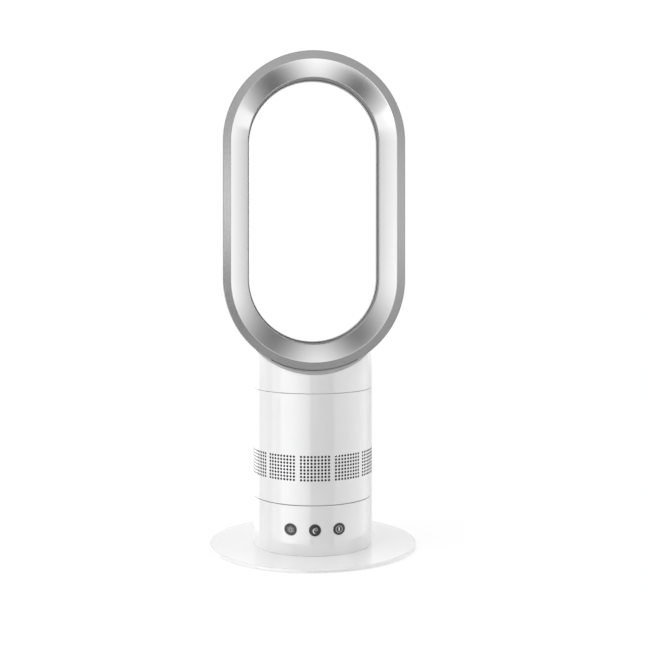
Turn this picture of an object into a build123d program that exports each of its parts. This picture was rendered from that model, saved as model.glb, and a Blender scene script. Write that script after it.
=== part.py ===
"""A bladeless fan: an oval air loop on a round tower that swings on its base.

Millimetres, +Z up, front towards -Y. The origin is on the floor, on the tower's axis.
Each function makes one piece where it stands in the assembled fan.
"""
import os
from math import acos, cos, pi, radians, sin, sqrt, tan

from build123d import *

# Tower and base plate
TOWER_RADIUS = 72.5
PLATE_RADIUS = 126.0
PLATE_THICKNESS = 3.4
FOOT_HEIGHT = 1.2
FOOT_SIDE = 14.0
FOOT_CIRCLE = 108.0
HOUSING_WALL = 2.8
HOUSING_TOP = 63.0
SWIVEL_GAP = 0.7
SHELL_WALL = 2.5
SHELL_TOP = 193.2
SEAM_GAP = 0.4

# Oval loop: two half rings joined by straight sides
LOOP_RADIUS = 107.7
LOOP_STRAIGHT = 163.0
LOOP_FRONT = -51.0
LOOP_REAR = 50.0
LOOP_WALL = 2.2
BEZEL_WIDTH = 10.0
CONE_DEPTH = 16.0
THROAT_REAR = 8.0
LIP_RADIUS = 78.1
LIP_LENGTH = 9.0
LIP_EDGE = 0.5
MOUTH_RADIUS = 84.0
RING_THICKNESS = 3.0
SLOT_WIDTH = 0.7
SPACER_LENGTH = 7.0
SPACER_WIDTH = 2.0
SPACERS_PER_SIDE = 3

# Collar, trim and neck under the loop
COLLAR_HEIGHT = 24.3
TRIM_THICKNESS = 1.5
COLLAR_WALL = 4.0
LUG_WIDTH = 14.0
LUG_REACH = 6.0
LUG_HEIGHT = 14.0
NECK_X = 76.0
NECK_Y = 70.0
NECK_WALL = 2.0
NECK_REACH = 12.0
NECK_FLANGE = 2.5
FLANGE_GAP = 0.5

# Air inlet grille: groups of upright slots all round the main shell
GRILLE_GROUPS = 11
GRILLE_SLOTS = 3
SLOT_PITCH_DEGREES = 9.74
GRILLE_SLOT_WIDTH = 8.0
GRILLE_LOW = 91.9
GRILLE_HIGH = 121.2

# Buttons and the board behind them
BUTTON_HEIGHT = 35.1
BUTTON_SPREAD = 28.3
BUTTON_RADIUS = 6.7
BUTTON_PROUD = 0.6
BUTTON_DEPTH = 5.0
BUTTON_TRAVEL = 1.2
TAB_WIDTH = 4.0
TAB_HEIGHT = 2.0
TAB_THICKNESS = 1.8
STEM_SIDE = 3.0
SWITCH_SIDE = 7.0
SWITCH_DEPTH = 5.5
STEM_REACH = 2.0
BOARD_DEPTH = 18.7
BOARD_END_GAP = 1.0
BOARD_HEIGHT = 26.0
BOARD_THICKNESS = 1.6
RIB_DEPTH = 2.2
RIB_REACH = 5.0

# Deck, spindle and swing drive
DECK_THICKNESS = 3.0
POST_SIDE = 9.0
POST_HEIGHT = 16.0
POST_INSET = 5.7
POST_ANGLES = (28, 152, 208, 332)
SPINDLE_RADIUS = 12.0
SPINDLE_BORE = 8.0
SPINDLE_KEY = 11.0
BEARING_RADIUS = 17.0
BEARING_LENGTH = 11.0
CLIP_RADIUS = 15.5
CLIP_THICKNESS = 2.5
FLOOR_THICKNESS = 3.5
PAD_CIRCLE = 55.0
PAD_LENGTH = 12.0
PAD_WIDTH = 7.0
PAD_THICKNESS = 1.7
PAD_ANGLES = (45, 135, 225, 315)
GEAR_MODULE = 1.5
SECTOR_RING_TEETH = 40
SECTOR_TEETH = 13
PINION_TEETH = 12
SECTOR_ADDENDUM = 0.75
PINION_ADDENDUM = 1.0
DEDENDUM = 1.25
PRESSURE_ANGLE = radians(20)
BACKLASH = 0.16
SECTOR_THICKNESS = 4.0
SECTOR_HUB = 16.0
PINION_THICKNESS = 5.0
PINION_LIFT = 3.3
SHAFT_RADIUS = 3.0
SHAFT_DEPTH = 7.0
SWING_MOTOR_SIDE = 38.0
SWING_MOTOR_HEIGHT = 14.0
BRACKET_LENGTH = 58.0
BRACKET_WIDTH = 22.0
BRACKET_THICKNESS = 2.0
BRACKET_LEG = 8.0

# Impeller and its motor
FAN_PLATE_BOTTOM = 150.0
FAN_PLATE_THICKNESS = 3.0
FAN_PLATE_SIDES = 16
INLET_RADIUS = 50.0
LEDGE_HEIGHT = 8.0
LEDGE_WIDTH = 10.0
LEDGE_REACH = 6.0
LEDGE_ANGLES = (0, 90, 180, 270)
IMPELLER_BOTTOM = 134.0
IMPELLER_TOP = 162.0
IMPELLER_HUB = 24.0
BLADES = 9
BLADE_THICKNESS = 1.8
BLADE_TILT = 40.0
BLADE_CLEARANCE = 1.5
MOTOR_SHAFT_RADIUS = 2.5
FAN_MOTOR_RADIUS = 26.0
FAN_MOTOR_BOTTOM = 166.0
FAN_MOTOR_HEIGHT = 22.0
MOUNT_RADIUS = 31.0
MOUNT_THICKNESS = 2.4
VANES = 6
VANE_THICKNESS = 1.8
VANE_OUTER = 60.0
VANE_FOOT = 7.0

# Boards, foam, cord bush and fasteners
SUPPLY_BOARD = (74.0, 46.0)
DRIVER_BOARD = (70.0, 50.0)
STANDOFF_SIDE = 6.0
STANDOFF_HEIGHT = 5.0
PART_HEIGHT = 12.0
FOAM_POST_HEIGHT = 22.0
FOAM_POST_OFFSET = 40.0
FOAM_GAP = 8.0
FOAM_THICKNESS = 8.0
BUSH_BORE = 3.6
BUSH_SIDE = 12.0
BUSH_FLANGE = 17.0
BUSH_FLANGE_THICKNESS = 2.0
BUSH_LENGTH = 9.0
BUSH_HEIGHT = 18.0
HEAD_RADIUS = 3.4
HEAD_HEIGHT = 2.0
SHANK_RADIUS = 1.7
SCREW_LENGTH = 11.0

# Clearances
FIT = 0.2
RUNNING_FIT = 0.05
LOOP_SEAT = 0.1
SCREW_FIT = 0.1
RUN_OUT = 0.3

# Levels and radii that follow from the sizes above
PLATE_TOP = FOOT_HEIGHT + PLATE_THICKNESS
HOUSING_INNER = TOWER_RADIUS - HOUSING_WALL
BOARD_FRONT = BOARD_DEPTH - HOUSING_INNER
POST_CIRCLE = HOUSING_INNER - POST_INSET
SHELL_INNER = TOWER_RADIUS - SHELL_WALL
COLLAR_INNER = TOWER_RADIUS - COLLAR_WALL
DECK_BOTTOM = HOUSING_TOP - DECK_THICKNESS
BEARING_BOTTOM = HOUSING_TOP - BEARING_LENGTH
SHELL_BOTTOM = HOUSING_TOP + SWIVEL_GAP
FLOOR_TOP = SHELL_BOTTOM + FLOOR_THICKNESS
SECTOR_TOP = BEARING_BOTTOM - FIT
SECTOR_BOTTOM = SECTOR_TOP - SECTOR_THICKNESS
CLIP_BOTTOM = SECTOR_BOTTOM - CLIP_THICKNESS
PINION_BOTTOM = (SECTOR_TOP + SECTOR_BOTTOM - PINION_THICKNESS) / 2
BRACKET_BOTTOM = PINION_BOTTOM - PINION_LIFT - BRACKET_THICKNESS
COLLAR_BOTTOM = SHELL_TOP + SEAM_GAP
LOOP_LOW_CENTRE = COLLAR_BOTTOM + COLLAR_HEIGHT + LOOP_RADIUS
NECK_BOTTOM = COLLAR_BOTTOM + LUG_HEIGHT - LUG_REACH
NECK_TOP = LOOP_LOW_CENTRE - LOOP_RADIUS + NECK_REACH
SADDLE_INNER = LOOP_RADIUS + LOOP_SEAT
SADDLE_OUTER = SADDLE_INNER + TRIM_THICKNESS
THROAT_RADIUS = LIP_RADIUS + LIP_EDGE + SLOT_WIDTH
RING_FRONT = LOOP_REAR - RING_THICKNESS
PINION_Y = GEAR_MODULE * (SECTOR_RING_TEETH + PINION_TEETH) / 2


# ---------------------------------------------------------------- shapes that several pieces use

def block(x, y, z, low):
    """An upright box centred on the Z axis, with its bottom at height low."""
    return Pos(0, 0, low) * Box(x, y, z, align=(Align.CENTER, Align.CENTER, Align.MIN))


def disc(radius, height, low):
    """An upright cylinder on the Z axis, with its bottom at height low."""
    return Pos(0, 0, low) * Cylinder(radius, height, align=(Align.CENTER, Align.CENTER, Align.MIN))


def prism(sides, radius, height, low):
    """An upright prism on the Z axis with a regular outline."""
    return Pos(0, 0, low) * extrude(RegularPolygon(radius, sides), height)


def around(piece, radius, angles):
    """Copies of a piece moved out to a radius and turned to each angle."""
    return [Rot(0, 0, angle) * Pos(radius, 0, 0) * piece for angle in angles]


def joined(pieces):
    """One body made of several that touch or overlap."""
    whole = pieces[0]
    for piece in pieces[1:]:
        whole += piece
    return whole


def screw(play=0.0):
    """A hexagon-headed screw that points down, with the underside of its head at height 0."""
    head = prism(6, HEAD_RADIUS + play, HEAD_HEIGHT + play, 0)
    return head + prism(6, SHANK_RADIUS + play, SCREW_LENGTH + play, -SCREW_LENGTH - play)


def screw_up(play=0.0):
    """The same screw, pointing up."""
    return Rot(180, 0, 0) * screw(play)


# ---------------------------------------------------------------- base

def plate_screw_places(play=0.0):
    """Four screws up through the plate into the housing's posts."""
    seat = FOOT_HEIGHT + HEAD_HEIGHT
    return around(Pos(0, 0, seat) * screw_up(play), POST_CIRCLE, POST_ANGLES)


def bracket_screw_places(play=0.0):
    """Two screws down through the housing's deck into the swing bracket's legs."""
    spread = (BRACKET_LENGTH - BRACKET_LEG) / 2
    screws = [Pos(x, PINION_Y, HOUSING_TOP - HEAD_HEIGHT) * screw(play) for x in (-spread, spread)]
    return screws


def base_plate():
    """The round plate, with pockets for its screws."""
    return disc(PLATE_RADIUS, PLATE_THICKNESS, FOOT_HEIGHT) - plate_screw_places(SCREW_FIT)


def rubber_feet():
    """Four pads stuck under the plate, near its rim."""
    return Compound(children=around(block(FOOT_SIDE, FOOT_SIDE, FOOT_HEIGHT, 0), FOOT_CIRCLE, PAD_ANGLES))


def plate_screws():
    return Compound(children=plate_screw_places())


def button_places():
    """How far each button's centre lies from the fan's middle, left to right."""
    return {"fan_button": -BUTTON_SPREAD, "swing_button": 0.0, "power_button": BUTTON_SPREAD}


def towards_front(radius, length, x, z, rear):
    """A cylinder along Y whose rear end is at Y = rear."""
    middle = rear - length / 2
    return Pos(x, middle, z) * Rot(90, 0, 0) * Cylinder(radius, length)


def glide_pad_places(play=0.0):
    """Low-friction pads let into the deck, which the main shell's floor glides on."""
    pad = block(PAD_WIDTH + play, PAD_LENGTH + play, PAD_THICKNESS, SHELL_BOTTOM - PAD_THICKNESS)
    return around(pad, PAD_CIRCLE, PAD_ANGLES)


def control_housing():
    """The lower cylinder and its deck: bearing, posts for the screws, board ribs and button holes."""
    housing = disc(TOWER_RADIUS, HOUSING_TOP - PLATE_TOP, PLATE_TOP)
    housing -= disc(HOUSING_INNER, DECK_BOTTOM - PLATE_TOP, PLATE_TOP)
    housing += prism(6, BEARING_RADIUS, BEARING_LENGTH, BEARING_BOTTOM)
    housing -= disc(SPINDLE_RADIUS + RUNNING_FIT, HOUSING_TOP, 0)
    post_reach = HOUSING_INNER + HOUSING_WALL / 2 - POST_CIRCLE + POST_SIDE / 2
    post = Pos((post_reach - POST_SIDE) / 2, 0, 0) * block(post_reach, POST_SIDE, POST_HEIGHT, PLATE_TOP)
    housing += around(post, POST_CIRCLE, POST_ANGLES)
    rib_outer = sqrt(TOWER_RADIUS**2 - (BOARD_FRONT - RIB_DEPTH) ** 2) - HOUSING_WALL / 2
    for side in (-1, 1):
        housing += Pos(side * (rib_outer - RIB_REACH), BOARD_FRONT - RIB_DEPTH / 2, 0) * block(
            2 * RIB_REACH, RIB_DEPTH, DECK_BOTTOM - PLATE_TOP, PLATE_TOP
        )
    for x in button_places().values():
        housing -= towards_front(BUTTON_RADIUS + FIT, TOWER_RADIUS, x, BUTTON_HEIGHT, BOARD_FRONT - RIB_DEPTH)
    housing -= Pos(0, TOWER_RADIUS, BUSH_HEIGHT) * Box(BUSH_SIDE + FIT, BUSH_LENGTH * 2, BUSH_SIDE + FIT)
    housing -= glide_pad_places(FIT)
    return housing - plate_screw_places(SCREW_FIT) - bracket_screw_places(SCREW_FIT)


def switch(x):
    """A push switch on the board's face, with the well that the button's stem moves in."""
    body = Box(SWITCH_SIDE, SWITCH_DEPTH, SWITCH_SIDE, align=(Align.CENTER, Align.MAX, Align.CENTER))
    well_side = STEM_SIDE + 2 * FIT
    well_depth = STEM_REACH + BUTTON_TRAVEL + RUN_OUT
    well = Pos(0, -SWITCH_DEPTH, 0) * Box(
        well_side, well_depth, well_side, align=(Align.CENTER, Align.MIN, Align.CENTER)
    )
    return Pos(x, BOARD_FRONT, BUTTON_HEIGHT) * (body - well)


def control_board():
    """The upright board behind the buttons, with a push switch for each."""
    width = 2 * (sqrt(HOUSING_INNER**2 - BOARD_FRONT**2) - BOARD_END_GAP)
    board = Pos(0, BOARD_FRONT, BUTTON_HEIGHT) * Box(
        width, BOARD_THICKNESS, BOARD_HEIGHT, align=(Align.CENTER, Align.MIN, Align.CENTER)
    )
    return joined([board] + [switch(x) for x in button_places().values()])


def button(x):
    """A round cap with a face that follows the housing, two tabs inside the wall and a square stem."""
    face = -sqrt(TOWER_RADIUS**2 - x**2)
    wall_x = abs(x) + TAB_WIDTH / 2
    tab_front = -sqrt(HOUSING_INNER**2 - wall_x**2) + RUN_OUT
    tab_rear = tab_front + TAB_THICKNESS
    rear = max(tab_rear, face + BUTTON_DEPTH)
    cap = towards_front(BUTTON_RADIUS, TOWER_RADIUS, x, BUTTON_HEIGHT, rear)
    cap &= disc(TOWER_RADIUS + BUTTON_PROUD, HOUSING_TOP, 0)
    tab_span = 2 * (BUTTON_RADIUS + TAB_HEIGHT)
    cap += Pos(x, (tab_front + tab_rear) / 2, BUTTON_HEIGHT) * Box(TAB_WIDTH, TAB_THICKNESS, tab_span)
    stem_end = BOARD_FRONT - SWITCH_DEPTH + STEM_REACH
    stem = Pos(x, (rear + stem_end) / 2, BUTTON_HEIGHT) * Box(STEM_SIDE, stem_end - rear, STEM_SIDE)
    return cap + stem


def circuit_board(size, low, parts):
    """A board on four standoffs, with boxes for its large parts as (x, y, width, depth)."""
    length, depth = size
    board = block(length, depth, BOARD_THICKNESS, low + STANDOFF_HEIGHT)
    foot = block(STANDOFF_SIDE, STANDOFF_SIDE, STANDOFF_HEIGHT, low)
    for x in (-1, 1):
        for y in (-1, 1):
            board += Pos(x * (length - STANDOFF_SIDE) / 2, y * (depth - STANDOFF_SIDE) / 2, 0) * foot
    for x, y, width, thick in parts:
        board += Pos(x, y, 0) * block(width, thick, PART_HEIGHT, low + STANDOFF_HEIGHT + BOARD_THICKNESS)
    return board


def power_board():
    """The supply board on the plate: transformer, coil and capacitor."""
    return circuit_board(SUPPLY_BOARD, PLATE_TOP, [(-20, 0, 22, 26), (8, 8, 12, 14), (26, -6, 12, 16)])


def cord_bush():
    """The bush in the housing's back wall, with a square flange outside and a bore for the lead."""
    body = Box(BUSH_SIDE, BUSH_LENGTH, BUSH_SIDE, align=(Align.CENTER, Align.MAX, Align.CENTER))
    flange = Box(
        BUSH_FLANGE, BUSH_FLANGE_THICKNESS, BUSH_FLANGE, align=(Align.CENTER, Align.MIN, Align.CENTER)
    )
    bush = body + flange - Rot(90, 0, 0) * Cylinder(BUSH_BORE, 3 * BUSH_LENGTH)
    return Pos(0, TOWER_RADIUS, BUSH_HEIGHT) * bush


def glide_pads():
    return Compound(children=glide_pad_places())


def swing_bracket():
    """The plate under the pinion, with a leg each side up to the deck."""
    bracket = block(BRACKET_LENGTH, BRACKET_WIDTH, BRACKET_THICKNESS, BRACKET_BOTTOM)
    leg = block(BRACKET_LEG, BRACKET_WIDTH, DECK_BOTTOM - BRACKET_BOTTOM, BRACKET_BOTTOM)
    for side in (-1, 1):
        bracket += Pos(side * (BRACKET_LENGTH - BRACKET_LEG) / 2, 0, 0) * leg
    bracket -= prism(6, SHAFT_RADIUS + 1, BRACKET_THICKNESS, BRACKET_BOTTOM)
    return Pos(0, PINION_Y, 0) * bracket - bracket_screw_places(SCREW_FIT)


def bracket_screws():
    return Compound(children=bracket_screw_places())


def swing_motor():
    """The flat geared motor under the bracket, with the bore its shaft turns in."""
    motor = block(SWING_MOTOR_SIDE, SWING_MOTOR_SIDE, SWING_MOTOR_HEIGHT, BRACKET_BOTTOM - SWING_MOTOR_HEIGHT)
    motor -= disc(SHAFT_RADIUS + RUNNING_FIT, SHAFT_DEPTH + RUN_OUT, BRACKET_BOTTOM - SHAFT_DEPTH - RUN_OUT)
    return Pos(0, PINION_Y, 0) * motor


# ---------------------------------------------------------------- swing gears

def involute(angle):
    return tan(angle) - angle


def tooth_half_angle(radius, teeth):
    """Half the angle that one tooth fills at a radius, by the involute of its base circle."""
    pitch_radius = GEAR_MODULE * teeth / 2
    base_radius = pitch_radius * cos(PRESSURE_ANGLE)
    at_pitch = (pi / 2 - BACKLASH / GEAR_MODULE) / teeth
    rolled = acos(min(1.0, base_radius / radius))
    return at_pitch + involute(PRESSURE_ANGLE) - involute(rolled)


def spindle_key(play=0.0):
    """The six-sided end of the spindle, below the bearing."""
    return prism(6, SPINDLE_KEY + play, BEARING_BOTTOM - CLIP_BOTTOM, CLIP_BOTTOM)


def tooth_points(teeth, addendum, middle):
    """The outline of one tooth centred on the angle middle: up one flank and down the other."""
    pitch_radius = GEAR_MODULE * teeth / 2
    base_radius = pitch_radius * cos(PRESSURE_ANGLE)
    root = pitch_radius - DEDENDUM * GEAR_MODULE
    tip = pitch_radius + addendum * GEAR_MODULE
    start = max(root, base_radius)
    flank = [root] if start - root > FIT else []
    flank += [start, (start + tip) / 2, tip]
    rising = [(r, middle - tooth_half_angle(r, teeth)) for r in flank]
    falling = [(r, middle + tooth_half_angle(r, teeth)) for r in reversed(flank)]
    return [(r * cos(a), r * sin(a)) for r, a in rising + falling]


def swing_sector():
    """The toothed sector keyed to the spindle's six-sided end, its middle tooth towards the back."""
    half = (SECTOR_TEETH - 1) / 2
    step = 2 * pi / SECTOR_RING_TEETH
    outline = [(-SECTOR_HUB, 0.0), (0.0, -SECTOR_HUB), (SECTOR_HUB, 0.0)]
    for number in range(SECTOR_TEETH):
        outline += tooth_points(SECTOR_RING_TEETH, SECTOR_ADDENDUM, pi / 2 + (number - half) * step)
    sector = extrude(make_face(Polyline(*outline, close=True)), SECTOR_THICKNESS)
    return Pos(0, 0, SECTOR_BOTTOM) * sector - spindle_key(RUNNING_FIT)


def spindle_clip():
    """The plate clipped on the spindle's end, under the sector."""
    return prism(6, CLIP_RADIUS, CLIP_THICKNESS, CLIP_BOTTOM) - spindle_key(RUNNING_FIT)


def swing_pinion():
    """The pinion on the swing motor's shaft, with a gap of its teeth towards the sector."""
    outline = []
    for number in range(PINION_TEETH):
        middle = -pi / 2 + (number + 0.5) * 2 * pi / PINION_TEETH
        outline += tooth_points(PINION_TEETH, PINION_ADDENDUM, middle)
    pinion = Pos(0, 0, PINION_BOTTOM) * extrude(make_face(Polyline(*outline, close=True)), PINION_THICKNESS)
    shaft_low = BRACKET_BOTTOM - SHAFT_DEPTH
    pinion += disc(SHAFT_RADIUS, PINION_BOTTOM - shaft_low, shaft_low)
    return Pos(0, PINION_Y, 0) * pinion


# ---------------------------------------------------------------- main shell

def grille_slots():
    """Cutters for the air inlet: upright slots in groups, one group's middle at the front."""
    height = GRILLE_HIGH - GRILLE_LOW
    slot = Pos(TOWER_RADIUS, 0, 0) * block(4 * SHELL_WALL, GRILLE_SLOT_WIDTH, height, GRILLE_LOW)
    cutters = []
    for group in range(GRILLE_GROUPS):
        for number in range(GRILLE_SLOTS):
            offset = (number - (GRILLE_SLOTS - 1) / 2) * SLOT_PITCH_DEGREES
            cutters.append(Rot(0, 0, -90 + group * 360 / GRILLE_GROUPS + offset) * slot)
    return cutters


def foam_posts():
    """Four posts on the main shell's floor, which carry the foam."""
    post = block(STANDOFF_SIDE, STANDOFF_SIDE, FOAM_POST_HEIGHT, FLOOR_TOP)
    spread = (-FOAM_POST_OFFSET, FOAM_POST_OFFSET)
    return [Pos(x, y, 0) * post for x in spread for y in spread]


def main_shell():
    """The tall cylinder with its floor and hollow spindle, the inlet grille and the fan plate's ledges."""
    shell = disc(TOWER_RADIUS, SHELL_TOP - SHELL_BOTTOM, SHELL_BOTTOM)
    shell -= disc(SHELL_INNER, SHELL_TOP - FLOOR_TOP, FLOOR_TOP)
    shell -= grille_slots()
    ledge_depth = LEDGE_REACH + SHELL_WALL / 2
    ledge = block(ledge_depth, LEDGE_WIDTH, LEDGE_HEIGHT, FAN_PLATE_BOTTOM - LEDGE_HEIGHT)
    shell += around(ledge, SHELL_INNER - LEDGE_REACH + ledge_depth / 2, LEDGE_ANGLES)
    shell += disc(SPINDLE_RADIUS, SHELL_BOTTOM - BEARING_BOTTOM, BEARING_BOTTOM)
    shell += foam_posts() + [spindle_key()]
    return shell - disc(SPINDLE_BORE, FLOOR_TOP, 0)


def driver_board():
    """The motor's driver board on the main shell's floor."""
    return circuit_board(DRIVER_BOARD, FLOOR_TOP, [(-18, 6, 20, 18), (16, -8, 14, 16)])


def silencer_foam():
    """A cut slab of foam on the main shell's posts, under the impeller."""
    return prism(8, SHELL_INNER - FOAM_GAP, FOAM_THICKNESS, FLOOR_TOP + FOAM_POST_HEIGHT)


# ---------------------------------------------------------------- impeller and its motor

def fan_plate():
    """The plate across the main shell, with the round inlet that the impeller turns in."""
    plate = prism(FAN_PLATE_SIDES, SHELL_INNER - FIT, FAN_PLATE_THICKNESS, FAN_PLATE_BOTTOM)
    return plate - disc(INLET_RADIUS, FAN_PLATE_THICKNESS, FAN_PLATE_BOTTOM)


def impeller():
    """The impeller: a hub with a flat for each tilted blade, which reaches nearly to the inlet's edge."""
    height = IMPELLER_TOP - IMPELLER_BOTTOM
    outer = INLET_RADIUS - BLADE_CLEARANCE
    chord = (height - BLADE_THICKNESS) / cos(radians(BLADE_TILT))
    inner = IMPELLER_HUB * cos(pi / BLADES) - BLADE_THICKNESS
    reach = sqrt(outer**2 - (chord * sin(radians(BLADE_TILT)) / 2 + BLADE_THICKNESS) ** 2) - inner
    blade = Rot(BLADE_TILT, 0, 0) * Box(reach, BLADE_THICKNESS, chord)
    blade = Pos(inner + reach / 2, 0, (IMPELLER_BOTTOM + IMPELLER_TOP) / 2) * blade
    wheel = prism(BLADES, IMPELLER_HUB, height, IMPELLER_BOTTOM)
    wheel += [Rot(0, 0, (number + 0.5) * 360 / BLADES) * blade for number in range(BLADES)]
    return wheel - disc(MOTOR_SHAFT_RADIUS, IMPELLER_TOP, 0)


def motor_shaft():
    """The shaft from the impeller's hub up through the motor."""
    top = FAN_MOTOR_BOTTOM + FAN_MOTOR_HEIGHT - RUN_OUT
    return disc(MOTOR_SHAFT_RADIUS, top - IMPELLER_BOTTOM, IMPELLER_BOTTOM)


def fan_motor():
    """The motor's eight-sided stack, hung under its mount, with the bore its shaft turns in."""
    stack = prism(8, FAN_MOTOR_RADIUS, FAN_MOTOR_HEIGHT, FAN_MOTOR_BOTTOM)
    return stack - disc(MOTOR_SHAFT_RADIUS + RUNNING_FIT, FAN_MOTOR_HEIGHT, FAN_MOTOR_BOTTOM)


def motor_mount():
    """The cap over the motor, on guide vanes that stand on the fan plate."""
    low = FAN_MOTOR_BOTTOM + FAN_MOTOR_HEIGHT
    cap = prism(2 * VANES, MOUNT_RADIUS, MOUNT_THICKNESS, low)
    inner = FAN_MOTOR_RADIUS + FIT
    foot_inner = VANE_OUTER - VANE_FOOT
    outline = Plane.XZ * Polyline(
        (inner, FAN_MOTOR_BOTTOM),
        (foot_inner, FAN_MOTOR_BOTTOM),
        (foot_inner, FAN_PLATE_BOTTOM + FAN_PLATE_THICKNESS),
        (VANE_OUTER, FAN_PLATE_BOTTOM + FAN_PLATE_THICKNESS),
        (VANE_OUTER, low),
        (MOUNT_RADIUS, low + MOUNT_THICKNESS),
        (inner, low + MOUNT_THICKNESS),
        close=True,
    )
    vane = extrude(make_face(outline), VANE_THICKNESS / 2, both=True)
    return joined([cap] + [Rot(0, 0, number * 360 / VANES) * vane for number in range(VANES)])


# ---------------------------------------------------------------- collar and neck

def saddle_cylinder(radius):
    """A cylinder along Y round the loop's lower centre."""
    return Pos(0, 0, LOOP_LOW_CENTRE) * Rot(90, 0, 0) * Cylinder(radius, 3 * TOWER_RADIUS)


def neck_hole(play):
    """The room for the neck, from inside the collar to inside the loop."""
    return block(NECK_X + 2 * play, NECK_Y + 2 * play, NECK_TOP - NECK_BOTTOM, NECK_BOTTOM)


def upper_collar():
    """The cylinder under the loop: saddle-shaped on top, with lugs that reach into the main shell."""
    collar = disc(TOWER_RADIUS, LOOP_LOW_CENTRE - COLLAR_BOTTOM, COLLAR_BOTTOM)
    collar -= disc(COLLAR_INNER, LOOP_LOW_CENTRE - COLLAR_BOTTOM, COLLAR_BOTTOM)
    lug_outer = sqrt((SHELL_INNER - FIT) ** 2 - (LUG_WIDTH / 2) ** 2)
    lug = block(LUG_REACH, LUG_WIDTH, LUG_HEIGHT, COLLAR_BOTTOM - LUG_REACH)
    collar += around(lug, lug_outer - LUG_REACH / 2, PAD_ANGLES)
    return collar - saddle_cylinder(SADDLE_OUTER)


def saddle_trim():
    """The thin skin between the collar and the loop, curved to the loop's outer wall."""
    trim = disc(TOWER_RADIUS, LOOP_LOW_CENTRE - COLLAR_BOTTOM, COLLAR_BOTTOM) & saddle_cylinder(SADDLE_OUTER)
    trim -= saddle_cylinder(SADDLE_INNER)
    return trim - neck_hole(FIT)


def neck_duct():
    """The duct from the collar up into the loop, with a flange on the collar's lugs."""
    duct = block(NECK_X, NECK_Y, NECK_TOP - NECK_BOTTOM, NECK_BOTTOM)
    duct += Rot(0, 0, 22.5) * prism(8, COLLAR_INNER - FLANGE_GAP, NECK_FLANGE, NECK_BOTTOM)
    return duct - block(NECK_X - 2 * NECK_WALL, NECK_Y - 2 * NECK_WALL, NECK_TOP, 0)


# ---------------------------------------------------------------- loop

def oval(outline):
    """Carries a section, drawn as (distance from the middle line, depth), round the oval."""
    section = make_face(outline)
    lower = revolve(section, Axis.Y, 180)
    right = extrude(section, LOOP_STRAIGHT, dir=(0, 0, 1))
    left = mirror(right, Plane.YZ)
    upper = Pos(0, 0, LOOP_STRAIGHT) * Rot(0, 180, 0) * lower
    return Pos(0, 0, LOOP_LOW_CENTRE) * (lower + right + left + upper)


def loop_front_casing():
    """Outer wall, bezel, cone and throat, open at the back."""
    bezel_inner = LOOP_RADIUS - BEZEL_WIDTH
    throat_front = LOOP_FRONT + CONE_DEPTH
    section = Polyline(
        (LOOP_RADIUS, RING_FRONT),
        (LOOP_RADIUS, LOOP_FRONT),
        (bezel_inner, LOOP_FRONT),
        (THROAT_RADIUS, throat_front),
        (THROAT_RADIUS, THROAT_REAR),
        (THROAT_RADIUS + LOOP_WALL, THROAT_REAR),
        (THROAT_RADIUS + LOOP_WALL, throat_front + LOOP_WALL / 2),
        (bezel_inner + LOOP_WALL / 2, LOOP_FRONT + LOOP_WALL),
        (LOOP_RADIUS - LOOP_WALL, LOOP_FRONT + LOOP_WALL),
        (LOOP_RADIUS - LOOP_WALL, RING_FRONT),
        close=True,
    )
    return oval(section) - neck_hole(FIT)


def loop_rear_ring():
    """The flat ring that closes the loop's back, bevelled outside. Its mouth narrows forwards to the lip
    that makes the air slot."""
    lip_front = THROAT_REAR - LIP_LENGTH
    lip_outer = LIP_RADIUS + LIP_EDGE
    section = Polyline(
        (LOOP_RADIUS, RING_FRONT),
        (LOOP_RADIUS - RING_THICKNESS, LOOP_REAR),
        (MOUTH_RADIUS, LOOP_REAR),
        (LIP_RADIUS, THROAT_REAR),
        (LIP_RADIUS, lip_front),
        (lip_outer, lip_front),
        (lip_outer, THROAT_REAR),
        (MOUTH_RADIUS + LOOP_WALL, RING_FRONT),
        close=True,
    )
    return oval(section)


def slot_spacers():
    """Small blocks in the air slot, along both straight sides."""
    spacers = []
    for side in (-1, 1):
        for number in range(SPACERS_PER_SIDE):
            height = LOOP_LOW_CENTRE + LOOP_STRAIGHT * (number + 0.5) / SPACERS_PER_SIDE
            middle = side * (THROAT_RADIUS - SLOT_WIDTH / 2)
            place = Pos(middle, THROAT_REAR - SPACER_LENGTH / 2, height)
            spacers.append(place * Box(SLOT_WIDTH, SPACER_LENGTH, SPACER_WIDTH))
    return Compound(children=spacers)


PIECES = {
    "base_plate": base_plate,
    "rubber_feet": rubber_feet,
    "plate_screws": plate_screws,
    "control_housing": control_housing,
    "control_board": control_board,
    "power_board": power_board,
    "cord_bush": cord_bush,
    "glide_pads": glide_pads,
    "swing_bracket": swing_bracket,
    "bracket_screws": bracket_screws,
    "swing_motor": swing_motor,
    "swing_pinion": swing_pinion,
    "swing_sector": swing_sector,
    "spindle_clip": spindle_clip,
    "main_shell": main_shell,
    "driver_board": driver_board,
    "silencer_foam": silencer_foam,
    "fan_plate": fan_plate,
    "impeller": impeller,
    "motor_shaft": motor_shaft,
    "fan_motor": fan_motor,
    "motor_mount": motor_mount,
    "upper_collar": upper_collar,
    "saddle_trim": saddle_trim,
    "neck_duct": neck_duct,
    "loop_front_casing": loop_front_casing,
    "loop_rear_ring": loop_rear_ring,
    "slot_spacers": slot_spacers,
}

os.makedirs("parts", exist_ok=True)
for name, make in PIECES.items():
    export_step(make(), f"parts/{name}.step")
for name, x in button_places().items():
    export_step(button(x), f"parts/{name}.step")
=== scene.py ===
import math

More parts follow.
